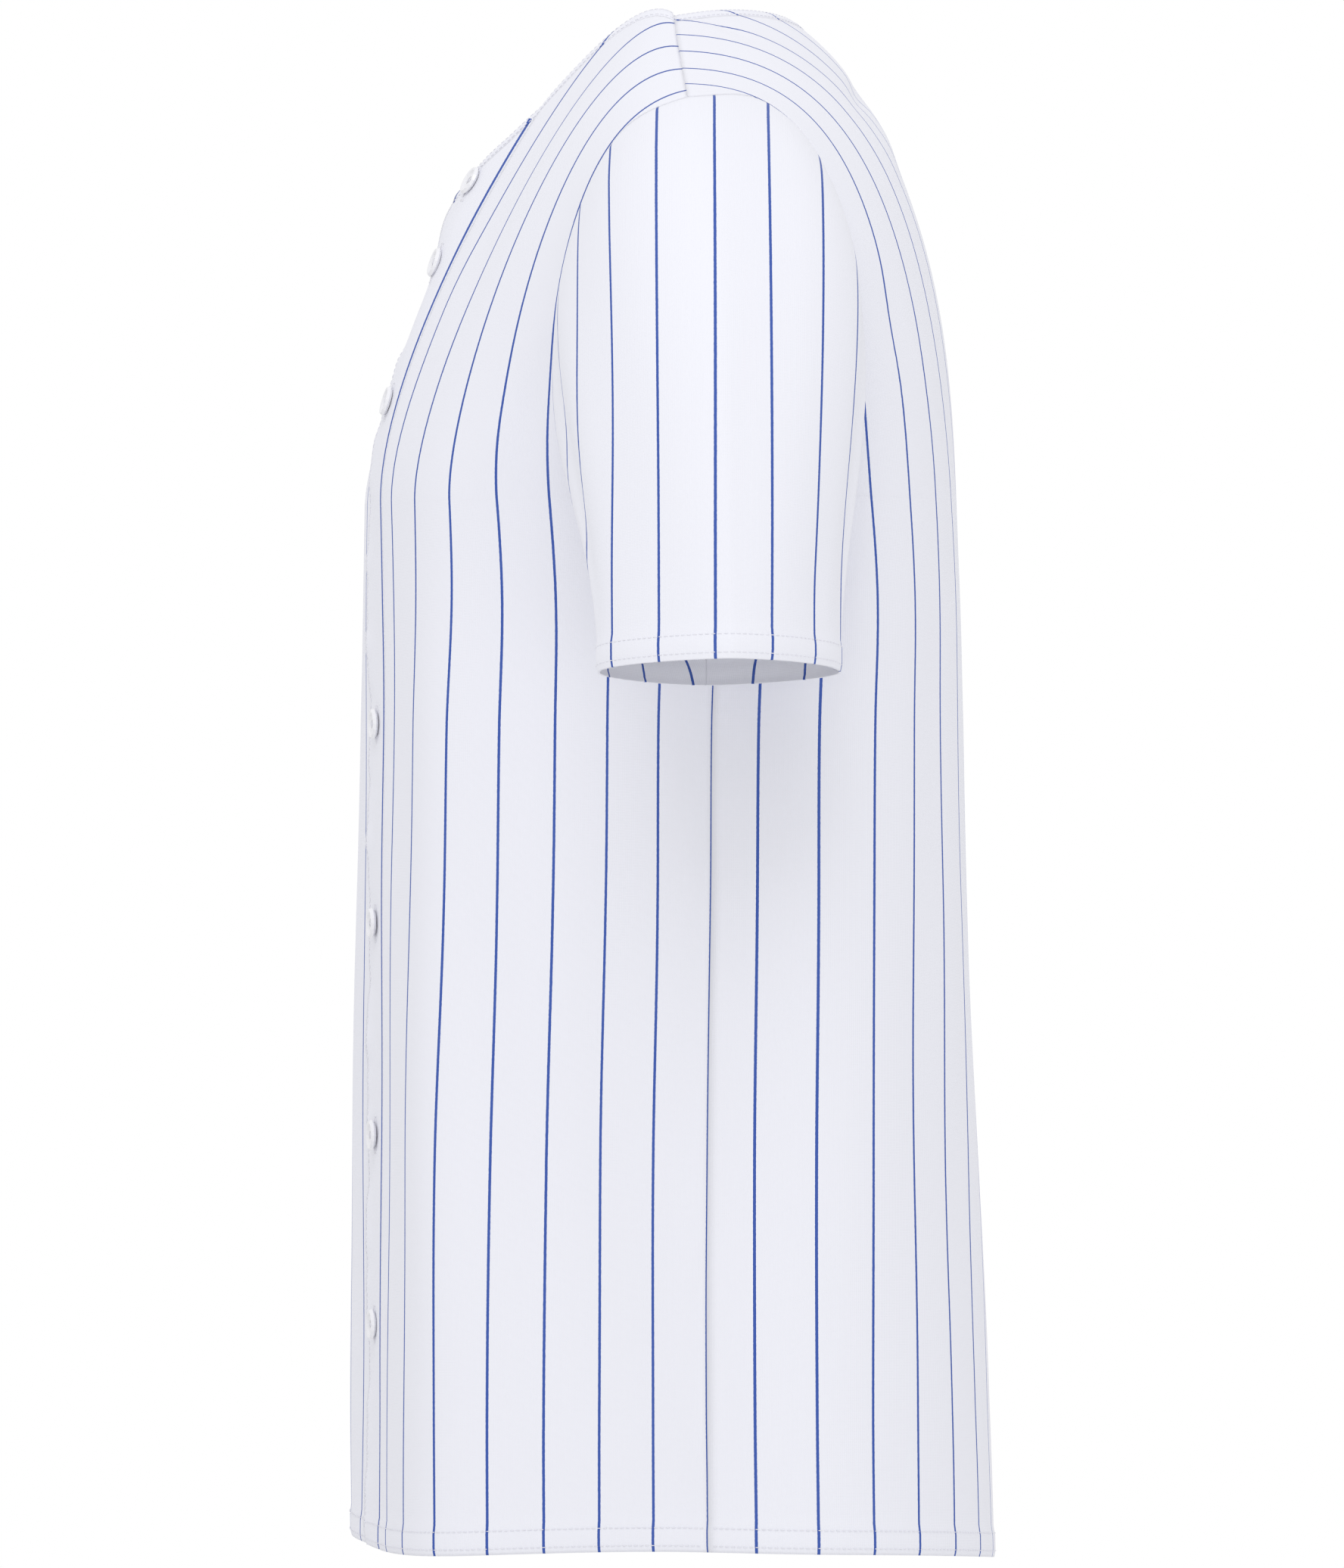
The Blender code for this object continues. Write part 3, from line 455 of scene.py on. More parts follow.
def cloth_material(name):
    """White knit with thin blue stripes printed at whole numbers of the stripe coordinate."""
    material, tree, shader = node_tree(name)
    stripe_uv = tree.nodes.new("ShaderNodeUVMap")
    stripe_uv.uv_map = "stripe"
    split = tree.nodes.new("ShaderNodeSeparateXYZ")
    tree.links.new(stripe_uv.outputs[0], split.inputs[0])
    cloth_uv = tree.nodes.new("ShaderNodeUVMap")
    cloth_uv.uv_map = "cloth"
    wobble = tree.nodes.new("ShaderNodeTexNoise")
    wobble.inputs["Scale"].default_value = 700.0
    tree.links.new(cloth_uv.outputs[0], wobble.inputs["Vector"])
    part = math_node(tree, "FRACT", math_node(tree, "ADD", split.outputs[0], 0.5))
    away = math_node(tree, "ABSOLUTE", math_node(tree, "SUBTRACT", part, 0.5))
    metres = math_node(tree, "MULTIPLY", away, split.outputs[1])
    edge = math_node(tree, "MULTIPLY_ADD", wobble.outputs[0], 0.0003, STRIPE_WIDTH / 2.0 - 0.00015)
    line = math_node(tree, "LESS_THAN", metres, edge)
    stripe_mix = tree.nodes.new("ShaderNodeMix")
    stripe_mix.data_type = "RGBA"
    stripe_mix.inputs["A"].default_value = CLOTH_WHITE
    stripe_mix.inputs["B"].default_value = STRIPE_BLUE
    tree.links.new(line, stripe_mix.inputs["Factor"])
    tree.links.new(stripe_mix.outputs["Result"], shader.inputs["Base Color"])
    # knit: fine upright wales crossed by finer courses, and small puckers beside the hem stitching
    parts = tree.nodes.new("ShaderNodeSeparateXYZ")
    tree.links.new(cloth_uv.outputs[0], parts.inputs[0])
    wales = math_node(tree, "SINE", math_node(tree, "MULTIPLY", parts.outputs[0], 2.0 * math.pi / 0.0011))
    courses = math_node(tree, "SINE", math_node(tree, "MULTIPLY", parts.outputs[1], 2.0 * math.pi / 0.0008))
    knit = math_node(tree, "ADD", wales, math_node(tree, "MULTIPLY", courses, 0.5))
    grain = tree.nodes.new("ShaderNodeTexNoise")
    grain.inputs["Scale"].default_value = 1500.0
    tree.links.new(cloth_uv.outputs[0], grain.inputs["Vector"])
    height = math_node(tree, "MULTIPLY_ADD", grain.outputs[0], 1.2, knit)
    from_fold = math_node(tree, "ABSOLUTE", math_node(tree, "SUBTRACT", parts.outputs[1], 0.0085))
    near_hem = math_node(tree, "SUBTRACT", 1.0, math_node(tree, "MULTIPLY", from_fold, 1.0 / 0.009))
    near_hem.node.use_clamp = True
    slow = tree.nodes.new("ShaderNodeTexNoise")
    slow.inputs["Scale"].default_value = 95.0
    tree.links.new(cloth_uv.outputs[0], slow.inputs["Vector"])
    pucker = math_node(tree, "MULTIPLY", math_node(tree, "MULTIPLY", slow.outputs[0], near_hem), 9.0)
    bump = tree.nodes.new("ShaderNodeBump")
    bump.inputs["Strength"].default_value = 0.22
    bump.inputs["Distance"].default_value = 0.0001
    tree.links.new(math_node(tree, "ADD", height, pucker), bump.inputs["Height"])
    tree.links.new(bump.outputs[0], shader.inputs["Normal"])
    shader.inputs["Roughness"].default_value = 0.72
    shader.inputs["Specular IOR Level"].default_value = 0.25
    shader.inputs["Sheen Weight"].default_value = 0.12
    shader.inputs["Sheen Roughness"].default_value = 0.45
    return material


def speckled_material(name, first, second, scale, roughness, coat):
    """Thread or button resin: a soft mix of two close colours, slightly uneven."""
    material, tree, shader = node_tree(name)
    noise = tree.nodes.new("ShaderNodeTexNoise")
    noise.inputs["Scale"].default_value = scale
    noise.inputs["Detail"].default_value = 4.0
    ramp = tree.nodes.new("ShaderNodeValToRGB")
    ramp.color_ramp.elements[0].color = first
    ramp.color_ramp.elements[1].color = second
    tree.links.new(noise.outputs[0], ramp.inputs[0])
    tree.links.new(ramp.outputs[0], shader.inputs["Base Color"])
    bump = tree.nodes.new("ShaderNodeBump")
    bump.inputs["Strength"].default_value = 0.05
    bump.inputs["Distance"].default_value = 0.0002
    tree.links.new(noise.outputs[0], bump.inputs["Height"])
    tree.links.new(bump.outputs[0], shader.inputs["Normal"])
    shader.inputs["Roughness"].default_value = roughness
    shader.inputs["Coat Weight"].default_value = coat
    return material


# Panels

TUBE_ROWS = 100
UNDERARM_ROWS = 24
UNDERARM_POWER = 2.2
CHEST_ROWS = 60
SEAM_DEPTH = 0.0007
SEAM_WIDTH = 0.0022


def seam_fall(distance):
    return -SEAM_DEPTH * np.exp(-(distance / SEAM_WIDTH) ** 2)


def front_surface(side, across, step):
    """Points and normals of a front's outer face with its folds, its seam and its free edge."""
    place = front_place(side)
    base = place(across, step)
    fall = seam_fall(across - PLACKET_HALF)
    lift = 0.0
    if side > 0.0:
        z = base[..., 2]
        wave = 0.0011 * np.sin(z * 58.0 + 0.6) + 0.0008 * np.sin(z * 131.0) + 0.0004 * np.sin(z * 310.0)
        wave *= 1.0 - smooth(-0.16, -0.11, z)
        free = np.exp(-((across + PLACKET_HALF) / 0.010) ** 2)
        fall = fall + free * (0.0006 + wave * 0.8) * (1.0 - smooth(-0.16, -0.11, z))
        base = place(across + free * wave * 0.9, step)
        lift = lap_lift(across, z)
    normal = form_normal(place, across, step, side)
    low = tube_height(np.full(across.shape, -1.0), np.abs(across) / half_round(UNDERARM_Z))
    depth = body_depth(side * across, base) + fall + lift + hem_puff(base[..., 2] - low)
    return base + normal * depth[..., None], normal


def back_surface(across, step):
    base = back_place(across, step)
    half = half_round(UNDERARM_Z)
    around = np.where(across >= 0.0, half - across, -half - across)
    normal = form_normal(back_place, across, step, -1.0)
    low = tube_height(np.full(across.shape, -1.0), 1.0 - np.abs(across) / half)
    depth = body_depth(around, base) + hem_puff(base[..., 2] - low)
    return base + normal * depth[..., None], normal


def row_levels():
    tube = -1.0 + np.arange(TUBE_ROWS) / TUBE_ROWS
    # two rows close to the edge keep the turned hem's shape
    tube = np.concatenate([[-1.0, -0.9965, -0.992], tube[tube > -0.9905]])
    # closer rows where the armhole curve starts, because it leaves the side almost level
    curve = CHEST_START * (np.arange(UNDERARM_ROWS + 1) / UNDERARM_ROWS) ** UNDERARM_POWER
    return np.concatenate([tube, curve])


def panel_places(inner, corner, edge_of, top_of, neck_columns, shoulder_columns):
    """Grids of across and step of one half panel, finer than its solid's but cut on the same lines."""
    neck = inner + (corner - inner) * np.arange(neck_columns + 1) / neck_columns
    shoulder = (np.arange(shoulder_columns) + 1.0) / shoulder_columns
    across, step = [], []
    for level in row_levels():
        across.append(np.concatenate([neck, corner + shoulder * (edge_of(level) - corner)]))
        step.append(np.full(neck_columns + 1 + shoulder_columns, level))
    for k in range(1, CHEST_ROWS + 1):
        share = k / CHEST_ROWS
        neck_step = CHEST_START + (top_of(neck) - CHEST_START) * share
        level = CHEST_START + (1.0 - CHEST_START) * share
        across.append(np.concatenate([neck, corner + shoulder * (edge_of(level) - corner)]))
        step.append(np.concatenate([neck_step, np.full(shoulder_columns, level)]))
    return np.array(across), np.array(step)


def cloth_run(points):
    """Distance up the cloth along each column, for the knit's courses."""
    steps = np.linalg.norm(np.diff(points, axis=0), axis=-1)
    return np.concatenate([np.zeros((1, points.shape[1])), np.cumsum(steps, axis=0)])


def striped(distance, pitch):
    """Stripe coordinate from the cloth's distance past a stripe, with the pitch beside it."""
    return np.stack([distance / pitch, np.full(distance.shape, pitch)], axis=-1)


def front_pieces(side, tag):
    def top_of(across):
        return front_neck_height(across, *FRONT_BAND)

    across, step = panel_places(PLACKET_HALF, FRONT_BAND[1], front_edge, top_of, 14, 46)
    outer, normal = front_surface(side, across, step)
    stripe = striped(across - FRONT_STRIPE, STRIPE_PITCH)
    cloth = np.stack([across, cloth_run(outer)], axis=-1)
    panel = shell(f"front_{tag}_cloth", outer, normal, stripe, cloth, cloth_material(f"front_{tag}_knit"))
    # button band, with one stripe near its seam
    levels = row_levels()
    levels = np.sort(np.concatenate([levels, (levels[1:] + levels[:-1]) / 2.0]))
    widths = np.linspace(-PLACKET_HALF, PLACKET_HALF, 17)
    rows = [np.full(len(widths), level) for level in levels]
    rows += [CHEST_START + (top_of(widths) - CHEST_START) * k / 40 for k in range(1, 41)]
    step = np.array(rows)
    across = np.tile(widths, (len(rows), 1))
    outer, normal = front_surface(side, across, step)
    stripe = striped(across - BAND_STRIPE, BAND_PITCH)
    cloth = np.stack([across, cloth_run(outer)], axis=-1)
    band = shell(f"placket_{tag}_cloth", outer, normal, stripe, cloth, cloth_material(f"placket_{tag}_knit"))
    return panel, band


def back_piece():
    def top_of(across):
        return back_neck_height(across, *BACK_BAND)

    across, step = panel_places(0.0, BACK_BAND[1], back_edge, top_of, 22, 34)
    across = np.concatenate([-across[:, :0:-1], across], axis=1)
    step = np.concatenate([step[:, :0:-1], step], axis=1)
    outer, normal = back_surface(across, step)
    cloth = np.stack([across, cloth_run(outer)], axis=-1)
    return shell("back_cloth", outer, normal, striped(across - BACK_STRIPE, STRIPE_PITCH), cloth,
                 cloth_material("back_knit"))


# Neckband

BAND_WIDTH = 0.009
BAND_PUFF = 0.0009
NARROW = 0.0008
NECK_STRIPE_TURNS = 4.0
NECK_COLUMNS = 7
BAND_THICK = 0.0014
PAST_HEM = 0.5


def neck_stations():
    """Places round the neck from the right free edge to the left one: side and share of the way."""
    band_share = 2.0 * PLACKET_HALF / (FRONT_BAND[1] + PLACKET_HALF)
    on_band = np.linspace(0.0, band_share - NARROW, 12)
    front = np.concatenate([on_band, np.linspace(band_share, 1.0 - NARROW, 26)])
    back = np.linspace(-1.0 + NARROW, 1.0 - NARROW, 72)
    stations = [(-1.0, share) for share in front]
    stations += [(0.0, share) for share in back]
    return stations + [(1.0, share) for share in front[::-1]]


def neck_place(side, share, inward):
    """Point, normal and distance past a stripe; inward is 0 at the band's outer edge, 1 at its inner."""
    pair = []
    for edge in ((BACK_BAND, BACK_NECK) if side == 0.0 else (FRONT_BAND, FRONT_NECK)):
        if side == 0.0:
            place = share * edge[1]
            pair.append((place, back_neck_height(place, *edge)))
        else:
            place = -PLACKET_HALF + share * (edge[1] + PLACKET_HALF)
            pair.append((place, front_neck_height(place, *edge)))
    across = np.array([pair[0][0] + (pair[1][0] - pair[0][0]) * inward])
    step = np.array([float(pair[0][1] + (pair[1][1] - pair[0][1]) * inward)])
    if side == 0.0:
        point, normal = back_surface(across, step)
        past = across[0] - BACK_STRIPE
    else:
        point, normal = front_surface(side, across, step)
        on_band = pair[0][0] < PLACKET_HALF
        # whole pitches added here keep a stripe from showing in the narrow step at the seams
        past = across[0] - (BAND_STRIPE + STRIPE_PITCH if on_band else FRONT_STRIPE)
        past += NECK_STRIPE_TURNS * STRIPE_PITCH * side
    return point[0], normal[0], past


def neckband_piece():
    inward = np.linspace(0.0, 1.0, NECK_COLUMNS)
    bulge = BAND_PUFF * np.sin(np.pi * inward) - 0.0003
    rows = [[neck_place(side, share, part) for part in inward] for side, share in neck_stations()]
    points = np.array([[p for p, _, _ in row] for row in rows])
    normals = np.array([[n for _, n, _ in row] for row in rows])
    past = np.array([[s for _, _, s in row] for row in rows])
    outer = points + normals * bulge[None, :, None]
    run = np.concatenate([[0.0], np.cumsum(np.linalg.norm(np.diff(outer[:, 0], axis=0), axis=-1))])
    along = np.tile(run[:, None], (1, NECK_COLUMNS))
    # the knit's coordinate starts well past the depth of a hem, because a band has none
    up = np.tile(PAST_HEM + inward * BAND_WIDTH, (len(run), 1))
    cloth = np.stack([along, up], axis=-1)
    piece = shell("neckband_cloth", outer, normals, striped(past, STRIPE_PITCH), cloth,
                  cloth_material("neckband_knit"), thick=BAND_THICK)
    return piece, outer, normals


# Sleeves

SLEEVE_ROWS = 72


def armhole_ring(side, count):
    """Points round the armhole from the shoulder tip down the front and up the back, evenly apart."""
    low_steps = CHEST_START * np.linspace(0.0, 1.0, 60) ** UNDERARM_POWER
    steps = np.concatenate([low_steps, np.linspace(CHEST_START, 1.0, 60)[1:]])
    front, front_normal = (rows[::-1] for rows in front_surface(side, front_edge(steps), steps))
    back, back_normal = back_surface(side * back_edge(steps), steps)

    def even(points, normals, samples):
        run = np.concatenate([[0.0], np.cumsum(np.linalg.norm(np.diff(points, axis=0), axis=-1))])
        at = np.linspace(0.0, run[-1], samples + 1)
        spots = np.stack([np.interp(at, run, points[:, c]) for c in range(3)], axis=-1)
        normal = np.stack([np.interp(at, run, normals[:, c]) for c in range(3)], axis=-1)
        return spots, normal / np.linalg.norm(normal, axis=-1, keepdims=True), at / run[-1]

    a, na, share_a = even(front, front_normal, count // 2)
    b, nb, share_b = even(back, back_normal, count // 2)
    angle = np.concatenate([np.pi * share_a, np.pi * (1.0 + share_b[1:-1])])
    return np.concatenate([a, b[1:-1]]), np.concatenate([na, nb[1:-1]]), angle


def powered(value):
    return np.sign(value) * np.abs(value) ** CUFF_POWER


# Sleeve folds: angle round from the top in degrees (front 0 to 180), share of the length, half width
# in degrees, half length as a share, depth in mm
SLEEVE_FOLDS = (
    (84, 0.45, 9, 0.40, -2.6),
    (66, 0.42, 11, 0.40, 1.6),
    (24, 0.50, 14, 0.60, 1.3),
    (-10, 0.55, 10, 0.55, -1.1),
    (-35, 0.45, 14, 0.60, 1.1),
    (-78, 0.50, 11, 0.50, -2.4),
    (-110, 0.60, 18, 0.40, 1.4),
    (130, 0.55, 16, 0.40, -1.6),
    (-52, 0.90, 7, 0.10, -0.9),
)


def stripe_lines(rows, signed):
    """Cloth across the grain of the sleeve, from the plane that its middle stripe hangs in."""
    order = np.argsort(signed)
    ring = rows[:, order]
    down = np.gradient(rows, axis=0).mean(axis=1)
    down /= np.linalg.norm(down, axis=-1, keepdims=True)
    hop = np.diff(ring, axis=1)
    hop -= np.sum(hop * down[:, None, :], axis=-1, keepdims=True) * down[:, None, :]
    run = np.concatenate([np.zeros((len(rows), 1)), np.cumsum(np.linalg.norm(hop, axis=-1), axis=1)], axis=1)
    start, turn = SLEEVE_STRIPE_PLANE
    beyond = ring[..., 1] - start - turn * np.abs(ring[..., 0])
    outer_side = np.abs(signed[order]) < 1.3
    line = np.zeros(run.shape)
    for i in range(len(rows)):
        zero = np.interp(0.0, -beyond[i, outer_side], run[i, outer_side])
        line[i, order] = run[i] - zero
    return line


def sleeve_piece(side, tag):
    points, normals, angle = armhole_ring(side, 128)
    count = len(points)
    top = (1.0 + np.cos(angle)) / 2.0
    leave = np.stack([side * (0.50 + 0.42 * top), -0.22 * np.sin(angle), -0.86 + 0.42 * top], axis=-1)
    leave /= np.linalg.norm(leave, axis=-1, keepdims=True)
    begin = points + normals * SLEEVE_START_GAP
    end = np.stack([side * (CUFF_CENTRE[0] + CUFF_HALF_OUT * powered(np.cos(angle))),
                    CUFF_CENTRE[1] - CUFF_HALF_DEEP * powered(np.sin(angle)),
                    CUFF_CENTRE[2] + CUFF_TILT * np.cos(angle)], axis=-1)
    hang = np.array([side * 0.10, 0.0, -0.995])
    length = np.linalg.norm(end - begin, axis=-1, keepdims=True)
    first = begin + leave * length * (0.30 + 0.10 * top[:, None])
    second = end - hang * length * 0.35
    t = np.linspace(0.0, 1.0, SLEEVE_ROWS + 1) ** 1.15
    t = np.sort(np.concatenate([t, [0.9985, 0.9965]]))
    rows = np.array([bezier(begin, first, second, end, np.full(count, value)) for value in t])
    around = np.roll(rows, -1, axis=1) - np.roll(rows, 1, axis=1)
    normal = np.cross(around, np.gradient(rows, axis=0)) * side
    normal /= np.linalg.norm(normal, axis=-1, keepdims=True)
    signed = np.where(angle > np.pi, angle - 2.0 * np.pi, angle)
    depth = np.zeros(rows.shape[:2])
    for centre, place, wide, long, rise in SLEEVE_FOLDS:
        off = (np.degrees(signed) - centre + 180.0) % 360.0 - 180.0
        depth += rise / 1000.0 * np.exp(-(off[None, :] / wide) ** 2 - ((t[:, None] - place) / long) ** 2)
    depth *= (smooth(0.0, 0.12, t) * (0.35 + 0.65 * smooth(1.0, 0.80, t)))[:, None]
    run = cloth_run(rows)
    from_hem = run[-1:] - run
    depth += hem_puff(from_hem) + seam_fall(run)
    outer = rows + normal * depth[..., None]
    line = stripe_lines(rows, signed)
    cut = int(np.argmin(np.abs(angle - np.pi)))
    order = np.concatenate([np.arange(cut, count), np.arange(0, cut + 1)])
    line = line[:, order]
    # the underarm seam's own column belongs to both ends of the sleeve's cloth
    line[:, -1] = 2.0 * line[:, -2] - line[:, -3]
    line[:, 0] = 2.0 * line[:, 1] - line[:, 2]
    cloth = np.stack([line, from_hem[:, order]], axis=-1)
    piece = shell(f"sleeve_{tag}_cloth", outer[:, order], normal[:, order], striped(line, STRIPE_PITCH),
                  cloth, cloth_material(f"sleeve_{tag}_knit"))
    return piece, outer[:, order], normal[:, order], from_hem[:, order]


# Sewing

STITCH_LENGTH = 0.0023
STITCH_GAP = 0.0008
THREAD_RADIUS = 0.00020
HEM_STITCH_LOW = 0.0031
HEM_STITCH_HIGH = 0.0119
BAND_STITCH_OUT = 0.0012
STITCH_SIDES = 5
thread_points, thread_faces = [], []


def add_thread(path, normals, radius):
    """A thread along a path, pointed at both ends, added to the sewing mesh."""
    path, normals = np.asarray(path), np.asarray(normals)
    way = np.gradient(path, axis=0)
    way /= np.linalg.norm(way, axis=-1, keepdims=True)
    aside = np.cross(way, normals)
    start = len(thread_points)
    thread_points.append(tuple(path[0]))
    for point, out, beside in zip(path[1:-1], normals[1:-1], aside[1:-1]):
        for k in range(STITCH_SIDES):
            angle = 2.0 * math.pi * k / STITCH_SIDES
            thread_points.append(tuple(point + (out * math.cos(angle) + beside * math.sin(angle)) * radius))
    thread_points.append(tuple(path[-1]))
    last = len(thread_points) - 1
    for k in range(STITCH_SIDES):
        n = (k + 1) % STITCH_SIDES
        thread_faces.append((start, start + 1 + k, start + 1 + n))
        for ring in range(len(path) - 3):
            low = start + 1 + ring * STITCH_SIDES
            high = low + STITCH_SIDES
            thread_faces.append((low + k, high + k, high + n, low + n))
        high = last - STITCH_SIDES
        thread_faces.append((last, high + n, high + k))


def stitch_row(points, normals):
    """Even machine stitches along a line on the cloth."""
    run = np.concatenate([[0.0], np.cumsum(np.linalg.norm(np.diff(points, axis=0), axis=-1))])
    starts = np.arange(0.001, run[-1] - STITCH_LENGTH, STITCH_LENGTH + STITCH_GAP)
    shares = np.array([0.0, 0.16, 0.84, 1.0]) * STITCH_LENGTH
    rise = np.array([-0.00005, 0.00016, 0.00016, -0.00005])
    for start in starts:
        at = start + shares
        spots = np.stack([np.interp(at, run, points[:, c]) for c in range(3)], axis=-1)
        out = np.stack([np.interp(at, run, normals[:, c]) for c in range(3)], axis=-1)
        out /= np.linalg.norm(out, axis=-1, keepdims=True)
        add_thread(spots + out * rise[:, None], out, THREAD_RADIUS)


def step_at(place, across, height):
    """The height step at which grain lines of a front pass a height, by halving."""
    across = np.asarray(across, float)
    low, high = np.full(across.shape, -1.0), np.full(across.shape, 0.9)
    for _ in range(40):
        middle = (low + high) / 2.0
        under = place(across, middle)[..., 2] < height
        low, high = np.where(under, middle, low), np.where(under, high, middle)
    return (low + high) / 2.0


def sew_body():
    half = half_round(UNDERARM_Z)
    back_half = half - FRONT_QUARTER
    for above in (HEM_STITCH_LOW, HEM_STITCH_HIGH):
        for side in (1.0, -1.0):
            across = np.linspace(-PLACKET_HALF + 0.002, FRONT_QUARTER - 0.001, 140)
            low = tube_height(np.full(across.shape, -1.0), np.abs(across) / half)
            stitch_row(*front_surface(side, across, -1.0 + above / (UNDERARM_Z - low)))
        across = np.linspace(-back_half + 0.001, back_half - 0.001, 260)
        low = tube_height(np.full(across.shape, -1.0), 1.0 - np.abs(across) / half)
        stitch_row(*back_surface(across, -1.0 + above / (UNDERARM_Z - low)))
    for side in (1.0, -1.0):
        for across_line in (PLACKET_HALF + BAND_STITCH_OUT, -PLACKET_HALF + 0.0022):
            top = float(front_neck_height(across_line, *FRONT_BAND)) - 0.004
            step = np.concatenate([np.linspace(-0.985, 0.0, 300), np.linspace(0.004, top, 120)])
            across = np.full(step.shape, across_line)
            stitch_row(*front_surface(side, across, step))


def sew_neck(outer, normals):
    """Two rows on the band, beside its seam and its fold."""
    for column in (1, 5):
        stitch_row(outer[:, column], normals[:, column])


def sew_cuff(outer, normals, from_hem):
    for above in (HEM_STITCH_LOW, HEM_STITCH_HIGH):
        spots, out = [], []
        for k in range(outer.shape[1]):
            at = from_hem[::-1, k]
            spots.append([np.interp(above, at, outer[::-1, k, c]) for c in range(3)])
            out.append([np.interp(above, at, normals[::-1, k, c]) for c in range(3)])
        stitch_row(np.array(spots), np.array(out))


HOLE_HALF_LENGTH = 0.0094
HOLE_HALF_WIDTH = 0.0010
HOLE_THREAD = 0.00042
BUTTON_HOLE_RADIUS = 0.0021
BUTTON_THREAD = 0.00032


def sew_button(height):
    """A corded upright buttonhole with a bar at each end."""
    place = front_place(1.0)
    turn = np.linspace(0.0, 2.0 * np.pi, 41)
    across = HOLE_HALF_WIDTH * np.sin(turn)
    heights = height + (HOLE_HALF_LENGTH - 0.0003) * np.sign(np.cos(turn)) * np.abs(np.cos(turn)) ** 0.4
    points, normals = front_surface(1.0, across, step_at(place, across, heights))
    add_thread(points, normals, HOLE_THREAD)
    for end in (-1.0, 1.0):
        across = np.linspace(-0.0019, 0.0019, 7)
        points, normals = front_surface(1.0, across, step_at(place, across, height + end * HOLE_HALF_LENGTH))
        add_thread(points, normals, HOLE_THREAD * 1.2)


def sew_through(height):
    """Two threads over a button's face, from hole to hole."""
    place = front_place(1.0)
    across = np.array([0.0, -0.005, 0.005, 0.0, 0.0])
    step = step_at(place, np.zeros(5), height) + np.array([0.0, 0.0, 0.0, -0.02, 0.02])
    base = place(across, step)
    spots = base + form_normal(place, across, step, 1.0) * lap_lift(across, base[:, 2])[:, None]
    up = spots[4] - spots[3]
    out = np.cross(spots[2] - spots[1], up)
    up, out = up / np.linalg.norm(up), out / np.linalg.norm(out)
    right = np.cross(up, out)
    reach = BUTTON_HOLE_RADIUS * math.sqrt(0.5)
    along = np.linspace(-reach, reach, 7)
    rise = BUTTON_GAP + BUTTON_FACE + 0.0003 - 0.0011 * (np.abs(along) / reach) ** 6
    for beside in (-reach, reach):
        path = spots[0] + right * beside + up * along[:, None] + out * rise[:, None]
        add_thread(path, np.tile(out, (len(path), 1)), BUTTON_THREAD)


# Assembly

neck, neck_outer, neck_normals = neckband_piece()
made = {"back": back_piece(), "neckband": neck}
for side, tag in ((1.0, "left"), (-1.0, "right")):
    front, band = front_pieces(side, tag)
    made[f"front_{tag}"] = front
    made[f"placket_{tag}"] = band
    made[f"sleeve_{tag}"], cuff_points, cuff_normals, cuff_from_hem = sleeve_piece(side, tag)
    sew_cuff(cuff_points, cuff_normals, cuff_from_hem)
for node, piece in made.items():
    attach(piece, "root")
    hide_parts(node)

sew_body()
sew_neck(neck_outer, neck_normals)
for height in BUTTON_HEIGHTS:
    sew_button(height)
    sew_through(height)

resin = speckled_material("button_resin", *RESIN_WHITES, 160.0, 0.32, 0.3)
for name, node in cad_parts.items():
    if name.startswith("button_"):
        node.data.materials.clear()
        node.data.materials.append(resin)

thread = speckled_material("thread_white", *THREAD_WHITES, 900.0, 0.6, 0.0)
sewing = new_mesh("sewing_thread", thread_points, thread_faces, thread)
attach(sewing, "root")

# Camera, light and floor

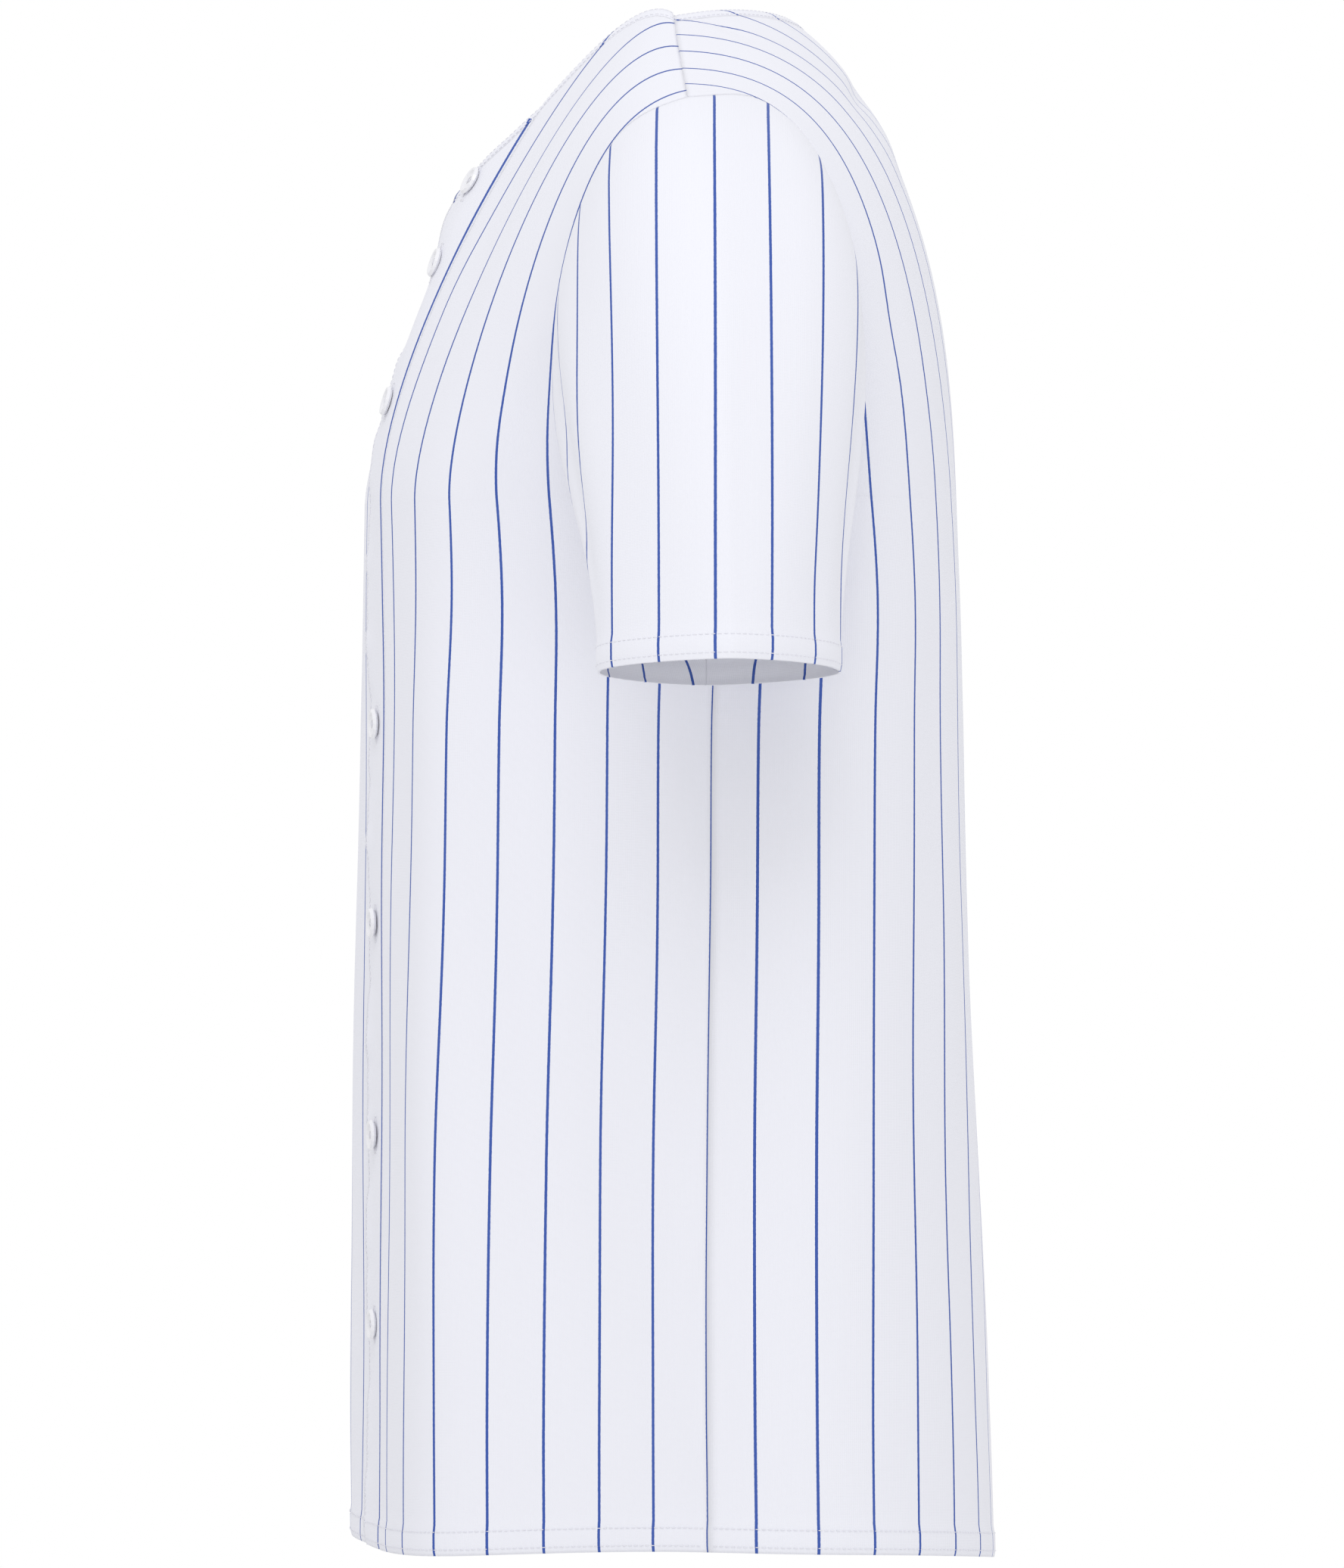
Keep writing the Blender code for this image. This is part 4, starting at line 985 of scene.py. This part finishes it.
AZIMUTH = math.radians(83.0)
CAMERA_DISTANCE = 5.0
VIEW_CENTRE_Z = -0.3908
VIEW_SIDE = 0.0023
DOME_STRENGTH = 0.89
toward = Vector((math.sin(AZIMUTH), -math.cos(AZIMUTH), 0.0))
rightward = Vector((math.cos(AZIMUTH), math.sin(AZIMUTH), 0.0))
camera_data = bpy.data.cameras.new("camera")
camera_data.sensor_fit = "VERTICAL"
camera_data.sensor_height = 36.0
camera_data.lens = 36.0 * CAMERA_DISTANCE / (2072.0 / 2600.0)
camera = bpy.data.objects.new("camera", camera_data)
camera.location = toward * CAMERA_DISTANCE + rightward * VIEW_SIDE + Vector((0.0, 0.0, VIEW_CENTRE_Z))
camera.rotation_euler = (-toward).to_track_quat("-Z", "Y").to_euler()
bpy.context.scene.collection.objects.link(camera)
bpy.context.scene.camera = camera

world = bpy.data.worlds.new("studio")
world.use_nodes = True
sky = world.node_tree
backdrop = sky.nodes["Background"]
backdrop.inputs["Color"].default_value = (1.0, 1.0, 1.0, 1.0)
# the dome lights a little less than the white backdrop that the camera sees
sight = sky.nodes.new("ShaderNodeLightPath")
brightness = sky.nodes.new("ShaderNodeMapRange")
brightness.inputs["To Min"].default_value = DOME_STRENGTH
brightness.inputs["To Max"].default_value = 1.0
sky.links.new(sight.outputs["Is Camera Ray"], brightness.inputs["Value"])
sky.links.new(brightness.outputs[0], backdrop.inputs["Strength"])
bpy.context.scene.world = world
bpy.context.scene.view_settings.view_transform = "Standard"


def area_light(name, place, target, size, power):
    data = bpy.data.lights.new(name, "AREA")
    data.shape = "DISK"
    data.size = size
    data.energy = power
    light = bpy.data.objects.new(name, data)
    light.location = place
    light.rotation_euler = (Vector(target) - Vector(place)).to_track_quat("-Z", "Y").to_euler()
    bpy.context.scene.collection.objects.link(light)


area_light("key", toward * 2.0 - rightward * 0.4 + Vector((0.0, 0.0, 1.9)), (0.0, 0.0, -0.1), 1.6, 17.0)
area_light("fill", toward * 3.0 + rightward * 0.9 + Vector((0.0, 0.0, -1.0)), (0.0, 0.0, -0.35), 1.6, 7.0)

floor_mesh = bpy.data.meshes.new("floor")
FLOOR_HALF = 6.0
FLOOR_Z = -1.4
FLOOR_CORNERS = ((-1, -1), (1, -1), (1, 1), (-1, 1))
floor_points = [(x * FLOOR_HALF, y * FLOOR_HALF, FLOOR_Z) for x, y in FLOOR_CORNERS]
floor_mesh.from_pydata(floor_points, [], [(0, 1, 2, 3)])
floor = bpy.data.objects.new("floor", floor_mesh)
bpy.context.scene.collection.objects.link(floor)
floor_material, _, floor_shader = node_tree("floor_paint")
floor_shader.inputs["Base Color"].default_value = (0.9, 0.9, 0.9, 1.0)
floor_mesh.materials.append(floor_material)
